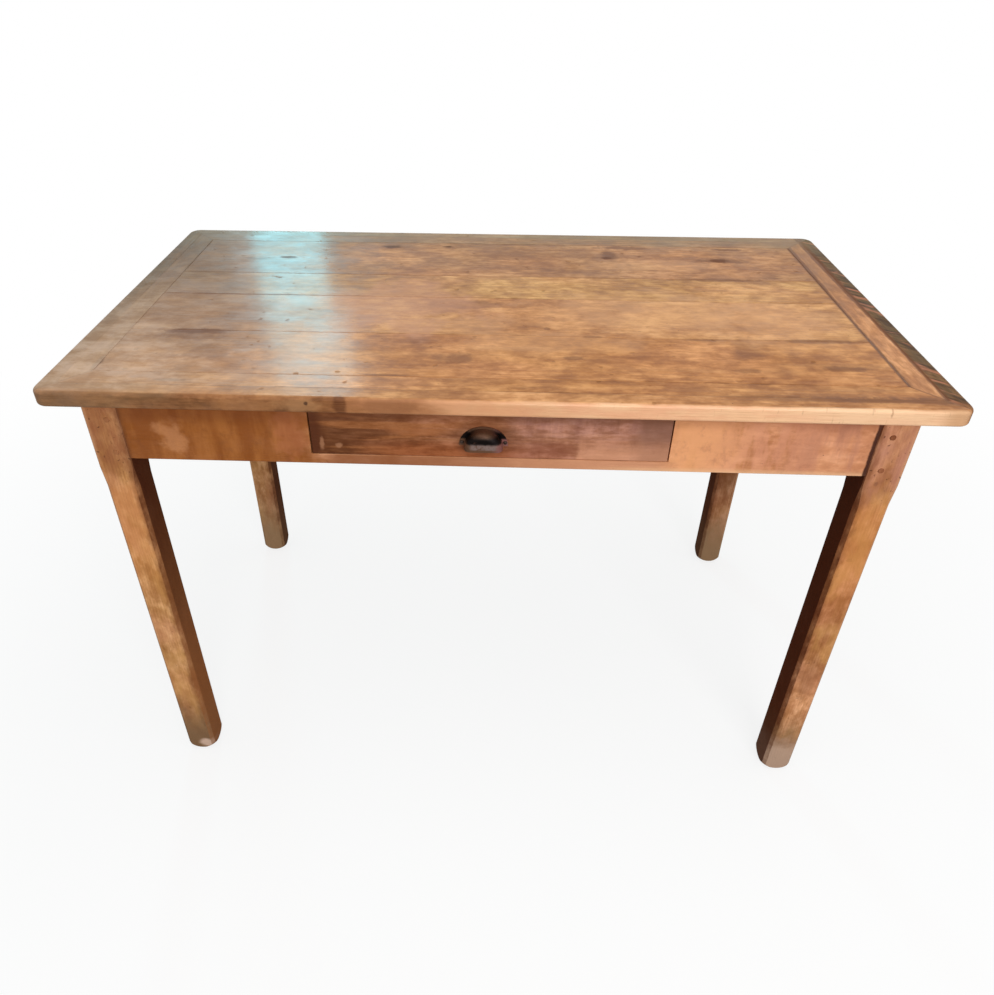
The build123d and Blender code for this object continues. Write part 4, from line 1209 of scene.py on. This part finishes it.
        # Painted shadow in the joints: a dark strip where the joint at the right leg has opened, and a softer
        # dark band at the left leg's joint
        opened = t.step(t.math("MULTIPLY_ADD", mottled, 0.004, x), 0.4765, 0.479, 0.0, 0.95)
        colour = t.mix(opened, colour, tone(58, 24, 16))
        dirty = t.step(t.math("MULTIPLY_ADD", mottled, 0.008, x), -0.476, -0.47, 0.55, 0.0)
        return t.mix(dirty, colour, tone(96, 52, 28))


class TABLE_OT_pegs(bpy.types.Operator):
    """Gives the pegs in the leg joints their dark end grain"""

    bl_idname = "table.pegs"
    bl_label = "Joint Pegs"

    def execute(self, context):
        chosen = settings("table_frame")
        board = Board("tenon_pegs", ALONG_Z, 107.0, pith=(0.0, -0.04))
        board.dirt_amount = 0.0
        board.contrast = 0.6
        colours = frame_colours(early=tone(150, 96, 64), late=tone(112, 68, 44))
        board.finish(colours, chosen.ring_spacing * 0.3, self.cover)
        return {"FINISHED"}

    def cover(self, t, place, colour, edge):
        """The dirt and wax that nearly hide the pegs of the left legs."""
        x = t.parts(place)["X"]
        return t.mix(t.step(x, -0.01, 0.01, 0.7, 0.0), colour, tone(172, 114, 72)), None


class TABLE_OT_drawer_front(bpy.types.Operator):
    """Gives the drawer front its dark streaked wood, grease and salmon patch"""

    bl_idname = "table.drawer_front"
    bl_label = "Drawer Front"

    def execute(self, context):
        chosen = settings("table_drawer")
        board = Board("drawer_front", ALONG_X_UPRIGHT, 113.0, pith=(0.03, 0.05))
        board.dirt_width = 0.0015
        board.dirt_amount = 0.3
        board.contrast = 0.8
        board.smudges = 0.8
        board.wear = 0.4
        colours = frame_colours(early=tuple(chosen.early_wood), late=tuple(chosen.late_wood))
        board.finish(colours, chosen.ring_spacing, self.use_marks)
        return {"FINISHED"}

    def use_marks(self, t, place, colour, edge):
        """The hands' grease round the pull, the patch at the right and the darker left end."""
        chosen = settings("table_drawer")
        x, _, z = t.parts(place)
        cloudy = t.noise(t.vector("MULTIPLY", place, (16.0, 16.0, 40.0)), 4.0, 0.62)[0]
        upright = t.noise(t.vector("MULTIPLY", place, (60.0, 60.0, 14.0)), 4.0, 0.65)[0]
        left = t.step(t.math("MULTIPLY_ADD", cloudy, 0.14, x), -0.14, 0.04, 0.86, 0.0)
        colour = t.mix(left, colour, tone(100, 56, 28))
        banded = t.noise(t.vector("MULTIPLY", place, (7.0, 10.0, 95.0)), 3.0, 0.6)[0]
        gold = t.math("MULTIPLY", t.step(banded, 0.44, 0.6, 0.0, 0.7), t.step(x, -0.06, 0.04, 1.0, 0.0))
        colour = t.mix(gold, colour, tone(166, 104, 60))
        russet = t.math("MULTIPLY", t.step(z, 0.66, 0.682, 0.75, 0.0), t.step(x, -0.2, -0.1))
        russet = t.math("MULTIPLY", russet, t.step(x, 0.07, 0.13, 1.0, 0.0))
        colour = t.mix(russet, colour, tone(150, 82, 46))
        violet = t.math("MULTIPLY", t.step(x, 0.0, 0.05), t.step(z, 0.672, 0.7, 0.35, 0.75))
        rosy = t.mix(t.step(upright, 0.32, 0.7), tone(158, 108, 94), tone(194, 138, 116))
        colour = t.mix(violet, colour, rosy)
        spotty = t.noise(t.vector("MULTIPLY", place, (36.0, 60.0, 110.0)), 4.0, 0.66)[0]
        colour = t.mix(1.0, colour, t.warm(t.step(spotty, 0.34, 0.66, 0.78, 1.18)), "MULTIPLY")
        across = t.math("MULTIPLY_ADD", upright, 0.02, x)
        along = t.math("MULTIPLY_ADD", upright, 0.05, z)
        patch = t.math("MULTIPLY", t.step(across, 0.115, 0.124), t.step(along, 0.686, 0.722, 0.66, 0.0))
        colour = t.mix(patch, colour, tuple(chosen.blush))
        ended = t.math("MULTIPLY", t.step(across, 0.178, 0.205), t.step(z, 0.67, 0.69, 0.3, 0.75))
        colour = t.mix(ended, colour, tone(136, 94, 76))
        dark = t.step(t.math("MULTIPLY_ADD", cloudy, 0.02, x), -0.22, -0.205, 0.85, 0.0)
        colour = t.mix(dark, colour, tone(88, 44, 22))
        pale_marks = [
            (-0.221, 0.669, 0.004, 0.013, 0.6, 110.0, 0.55, tone(186, 132, 96)),
            (-0.199, 0.667, 0.006, 0.005, 0.6, 110.0, 0.55, tone(186, 132, 96)),
        ]
        colour = self.marks(t, place, colour, pale_marks)
        # Painted shadow of the top's overhang along the upper edge
        under = t.step(z, 0.7, 0.715, 0.0, 0.5)
        colour = t.mix(under, colour, tone(96, 54, 32))
        # A glow left of the pull, a russet patch right of it, and the hands' grease behind it
        grip_marks = [
            (-0.095, 0.69, 0.05, 0.008, 0.6, 60.0, 0.5, tone(180, 112, 66)),
            (0.075, 0.668, 0.05, 0.012, 0.6, 60.0, 0.4, tone(132, 74, 54)),
            (-0.012, 0.684, 0.06, 0.03, 0.5, 30.0, 0.4, tone(92, 52, 36)),
        ]
        return self.marks(t, place, colour, grip_marks), None

    def marks(self, t, place, colour, table):
        """Lays marks: along, level, reach along and up, raggedness, its scale, strength and shade."""
        for along, level, length, height, ragged, scale, strength, shade in table:
            centre, reach = (along, FRAME_FRONT, level), (length, 1.0, height)
            colour = mark(t, place, colour, centre, reach, ragged, scale, strength, shade)
        return colour


class TABLE_OT_drawer_box(bpy.types.Operator):
    """Gives the sides, back and bottom of the drawer their bare wood"""

    bl_idname = "table.drawer_box"
    bl_label = "Drawer Box"

    def execute(self, context):
        chosen = settings("table_drawer")
        boards = [
            ("drawer_side_left", ALONG_Y_UPRIGHT, 127.0),
            ("drawer_side_right", ALONG_Y_UPRIGHT, 131.0),
            ("drawer_back", ALONG_X_UPRIGHT, 137.0),
            ("drawer_bottom", ALONG_X_ON_TOP, 139.0),
        ]
        for node, axes, seed in boards:
            board = Board(node, axes, seed, pith=(0.02, -0.06))
            board.dirt_amount = 0.35
            board.dirt_width = 0.003
            board.contrast = 0.5
            board.clouding = 0.3
            board.smudges = 0.1
            board.wear = 0.2
            board.coat = 0.0
            board.finish(box_colours(), chosen.ring_spacing)
        return {"FINISHED"}


class TABLE_OT_runners(bpy.types.Operator):
    """Gives the drawer runners, their stops and the buttons under the top their bare wood"""

    bl_idname = "table.runners"
    bl_label = "Runners, Stops and Buttons"

    def execute(self, context):
        chosen = settings("table_drawer")
        pieces = [
            ("drawer_runner_left", ALONG_Y_UPRIGHT, 149.0),
            ("drawer_runner_right", ALONG_Y_UPRIGHT, 151.0),
            ("drawer_stops", ALONG_X_UPRIGHT, 157.0),
            ("top_buttons", ALONG_Y_ON_TOP, 163.0),
        ]
        for node, axes, seed in pieces:
            board = Board(node, axes, seed, pith=(0.02, -0.06))
            board.dirt_amount = 0.3 if node.startswith("drawer_runner") else 0.0
            board.contrast = 0.6
            board.coat = 0.0
            colours = box_colours()
            colours["early"] = tone(176, 128, 84)
            colours["late"] = tone(132, 88, 52)
            board.finish(colours, chosen.ring_spacing)
        return {"FINISHED"}


def feed_iron(t, shader, iron, relief):
    """Feeds the worn iron to a shader, with the depth of its relief in metres."""
    t.feed(shader.inputs["Base Color"], iron["Colour"])
    t.feed(shader.inputs["Roughness"], iron["Roughness"])
    t.feed(shader.inputs["Metallic"], iron["Metallic"])
    shader.inputs["Specular IOR Level"].default_value = 0.25
    bump = t.node("ShaderNodeBump", {"Strength": 0.5, "Distance": relief, "Height": iron["Height"]})
    t.feed(shader.inputs["Normal"], bump.outputs[0])


class TABLE_OT_cup_pull(bpy.types.Operator):
    """Gives the cup pull its blackened iron, with a painted highlight at the lip, painted shade across the
    dome and painted light on its right side
    """

    bl_idname = "table.cup_pull"
    bl_label = "Cup Pull"

    def execute(self, context):
        chosen = settings("table_metal")
        material, t, shader, place = new_material("Blackened iron")
        low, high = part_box("drawer_pull")
        x, y, z = t.parts(place)
        middle = (low.x + high.x) / 2
        across = t.math("ABSOLUTE", t.math("SUBTRACT", x, middle))
        level = t.math("SUBTRACT", z, low.z)
        # Painted highlight on the lower front of the dome, fed to the iron as its rubbed part
        lip = t.math("MULTIPLY", t.step(level, 0.002, 0.005), t.step(level, 0.009, 0.0135, 1.0, 0.0))
        lip = t.math("MULTIPLY", lip, t.step(across, 0.013, 0.02, 1.0, 0.0))
        lip = t.math("MULTIPLY", lip, t.step(y, low.y + 0.006, low.y + 0.012, 1.0, 0.0))
        # Painted shade across the middle of the dome
        dome_painted_shade = t.math("MULTIPLY", t.step(level, 0.009, 0.012), t.step(level, 0.018, 0.027, 1.0, 0.0))
        # Painted light on the right side of the pull
        iron_with_painted_light_and_shade = t.mix(t.step(x, middle + 0.008, middle + 0.022), tuple(chosen.iron), tone(146, 98, 92))
        iron_with_painted_light_and_shade = t.mix(dome_painted_shade, iron_with_painted_light_and_shade, tone(14, 6, 5))
        iron = t.group(
            shared_group("Worn iron"),
            Vector=place,
            Rubbed=lip,
            Base=iron_with_painted_light_and_shade,
            Bright=tuple(chosen.rubbed),
            Rust=tuple(chosen.rust),
        )
        feed_iron(t, shader, iron, 0.0003)
        dress("drawer_pull", material)
        return {"FINISHED"}


class TABLE_OT_screws(bpy.types.Operator):
    """Gives the screws and nails their dull steel"""

    bl_idname = "table.screws"
    bl_label = "Screws and Nails"

    def execute(self, context):
        chosen = settings("table_metal")
        material, t, shader, place = new_material("Dull steel")
        iron = t.group(
            shared_group("Worn iron"),
            Vector=place,
            Rubbed=0.5,
            Base=tuple(chosen.screw),
            Bright=tone(92, 78, 70),
            Rust=tuple(chosen.rust),
        )
        feed_iron(t, shader, iron, 0.0001)
        for node in ("pull_screws", "button_screws", "drawer_bottom_nails"):
            dress(node, material)
        return {"FINISHED"}


class TABLE_OT_stage(bpy.types.Operator):
    """Sets the studio floor, the soft lamps and the camera at the photograph's angle"""

    bl_idname = "table.stage"
    bl_label = "Stage, Lamps and Camera"

    def execute(self, context):
        chosen = settings("table_stage")
        self.floor(context, chosen)
        self.world(context, chosen)
        self.lamp(context, "Key softbox", (0.9, -3.0, 1.9), (0.1, 0.0, 0.5), (1.8, 1.4), chosen.key)
        self.lamp(context, "Ceiling softbox", (0.3, -0.3, 2.9), (0.1, 0.0, 0.75), (2.2, 1.6), chosen.ceiling)
        # The window's parts stand behind the table and face forward: along, level, size, power and colour
        for name, along, level, size, power, colour in (
            ("Window", -1.06, 1.78, (0.36, 0.6), chosen.window, (0.28, 0.86, 1.0)),
            ("Window's upper pane", -1.0, 2.35, (0.44, 0.5), chosen.pane, (0.58, 0.93, 1.0)),
            ("Window's curtain", -1.3, 2.04, (0.12, 1.1), chosen.curtain, (0.8, 0.93, 1.0)),
        ):
            self.lamp(context, name, (along, WINDOW_PLANE, level), (along, 0.0, level), size, power, colour)
        self.camera(context)
        context.scene.view_settings.view_transform = "Standard"
        return {"FINISHED"}

    def floor(self, context, chosen):
        """A wide pale floor, which shows nearly white to the camera and keeps the shadow."""
        reach = chosen.floor_reach
        mesh = bpy.data.meshes.new("studio_floor")
        corners = [(-reach, -reach, 0.0), (reach, -reach, 0.0), (reach, reach, 0.0), (-reach, reach, 0.0)]
        mesh.from_pydata(corners, [], [(0, 1, 2, 3)])
        floor = bpy.data.objects.new("studio_floor", mesh)
        context.scene.collection.objects.link(floor)
        material = bpy.data.materials.new("Studio floor")
        material.use_nodes = True
        material.node_tree.nodes.clear()
        t = Tree(material.node_tree)
        shown = t.node("ShaderNodeBsdfDiffuse", {"Color": tuple(chosen.floor)}).outputs[0]
        white = t.node("ShaderNodeEmission", {"Color": (1.0, 1.0, 1.0), "Strength": 1.0}).outputs[0]
        # A darker floor for the light that it throws back at the table
        dim = t.node("ShaderNodeBsdfDiffuse", {"Color": (0.42, 0.4, 0.38)}).outputs[0]
        # The floor is plain white further out, and takes the shadow near the table
        away = t.vector("LENGTH", t.node("ShaderNodeTexCoord").outputs["Object"])
        share = t.step(away, 0.7, 1.9, 0.8, 1.0)
        seen = t.node("ShaderNodeMixShader", {0: share, 1: shown, 2: white}).outputs[0]
        camera_ray = t.node("ShaderNodeLightPath").outputs["Is Camera Ray"]
        mixed = t.node("ShaderNodeMixShader", {0: camera_ray, 1: dim, 2: seen})
        t.feed(t.node("ShaderNodeOutputMaterial").inputs["Surface"], mixed.outputs[0])
        mesh.materials.append(material)

    def world(self, context, chosen):
        """Even light all round, and plain white where the camera or a gloss sees the background."""
        world = bpy.data.worlds.new("Studio")
        world.use_nodes = True
        world.node_tree.nodes.clear()
        t = Tree(world.node_tree)
        ambient = t.node(
            "ShaderNodeBackground", {"Color": (0.97, 0.985, 1.0), "Strength": chosen.ambient}
        ).outputs[0]
        white = t.node("ShaderNodeBackground", {"Color": (1.0, 1.0, 1.0), "Strength": 1.0}).outputs[0]
        path = t.node("ShaderNodeLightPath").outputs
        seen = t.math("MAXIMUM", path["Is Camera Ray"], path["Is Glossy Ray"])
        seen = t.math("MAXIMUM", seen, path["Is Transmission Ray"])
        mixed = t.node("ShaderNodeMixShader", {0: seen, 1: ambient, 2: white})
        t.feed(t.node("ShaderNodeOutputWorld").inputs["Surface"], mixed.outputs[0])
        context.scene.world = world

    def lamp(self, context, name, place, target, size, power, colour=(1.0, 1.0, 1.0)):
        """A soft rectangular lamp that points at a target."""
        data = bpy.data.lights.new(name, "AREA")
        data.shape = "RECTANGLE"
        data.size, data.size_y = size
        data.energy = power
        data.color = colour
        lamp = bpy.data.objects.new(name, data)
        context.scene.collection.objects.link(lamp)
        lamp.location = place
        lamp.rotation_euler = (Vector(target) - Vector(place)).to_track_quat("-Z", "Y").to_euler()

    def camera(self, context):
        """The camera where the photograph's perspective puts it."""
        yaw, pitch, roll = 0.038735, -0.573733, 0.001407
        focal, centre_x, centre_y = 762.101, 467.037, 418.469
        forward = Vector((-math.sin(yaw) * math.cos(pitch), math.cos(yaw) * math.cos(pitch), math.sin(pitch)))
        level = Vector((math.cos(yaw), math.sin(yaw), 0.0))
        upward = level.cross(forward)
        right = math.cos(roll) * level + math.sin(roll) * upward
        up = -math.sin(roll) * level + math.cos(roll) * upward
        data = bpy.data.cameras.new("Photograph camera")
        data.sensor_fit = "AUTO"
        data.sensor_width = 36.0
        data.lens = focal * data.sensor_width / max(RENDER_WIDTH, RENDER_HEIGHT)
        data.shift_x = (RENDER_WIDTH / 2 - centre_x) / max(RENDER_WIDTH, RENDER_HEIGHT)
        data.shift_y = (centre_y - RENDER_HEIGHT / 2) / max(RENDER_WIDTH, RENDER_HEIGHT)
        data.clip_end = 200.0
        camera = bpy.data.objects.new("Photograph camera", data)
        context.scene.collection.objects.link(camera)
        place = Vector((-0.00194, -1.08285, 1.2319))
        turn = Matrix((right, up, -forward)).transposed().to_4x4()
        camera.matrix_world = Matrix.Translation(place) @ turn
        context.scene.camera = camera


OPERATORS = (
    TABLE_OT_top_boards,
    TABLE_OT_top_frame,
    TABLE_OT_edge_strips,
    TABLE_OT_legs,
    TABLE_OT_aprons,
    TABLE_OT_pegs,
    TABLE_OT_drawer_front,
    TABLE_OT_drawer_box,
    TABLE_OT_runners,
    TABLE_OT_cup_pull,
    TABLE_OT_screws,
    TABLE_OT_stage,
)


class TABLE_PT_sidebar(bpy.types.Panel):
    """Lists the pieces of the table and their settings"""

    bl_idname = "TABLE_PT_sidebar"
    bl_label = "Farmhouse Table"
    bl_space_type = "VIEW_3D"
    bl_region_type = "UI"
    bl_category = "Table"

    def draw(self, context):
        layout = self.layout
        for operator in OPERATORS:
            layout.operator(operator.bl_idname)
        for name, kind in SETTINGS.items():
            box = layout.box()
            box.label(text=name.replace("_", " ").title())
            for key in kind.__annotations__:
                box.prop(getattr(context.scene, name), key)


CLASSES = (*SETTINGS.values(), *OPERATORS, TABLE_PT_sidebar)


def register():
    """Registers the settings, the operators and the sidebar."""
    for kind in CLASSES:
        bpy.utils.register_class(kind)
    for name, kind in SETTINGS.items():
        setattr(bpy.types.Scene, name, PointerProperty(type=kind))


def unregister():
    """Takes the settings, the operators and the sidebar away again."""
    for name in SETTINGS:
        delattr(bpy.types.Scene, name)
    for kind in reversed(CLASSES):
        bpy.utils.unregister_class(kind)


def main():
    """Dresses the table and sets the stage."""
    register()
    for operator in OPERATORS:
        family, name = operator.bl_idname.split(".")
        getattr(getattr(bpy.ops, family), name)()


if __name__ == "__main__":
    main()
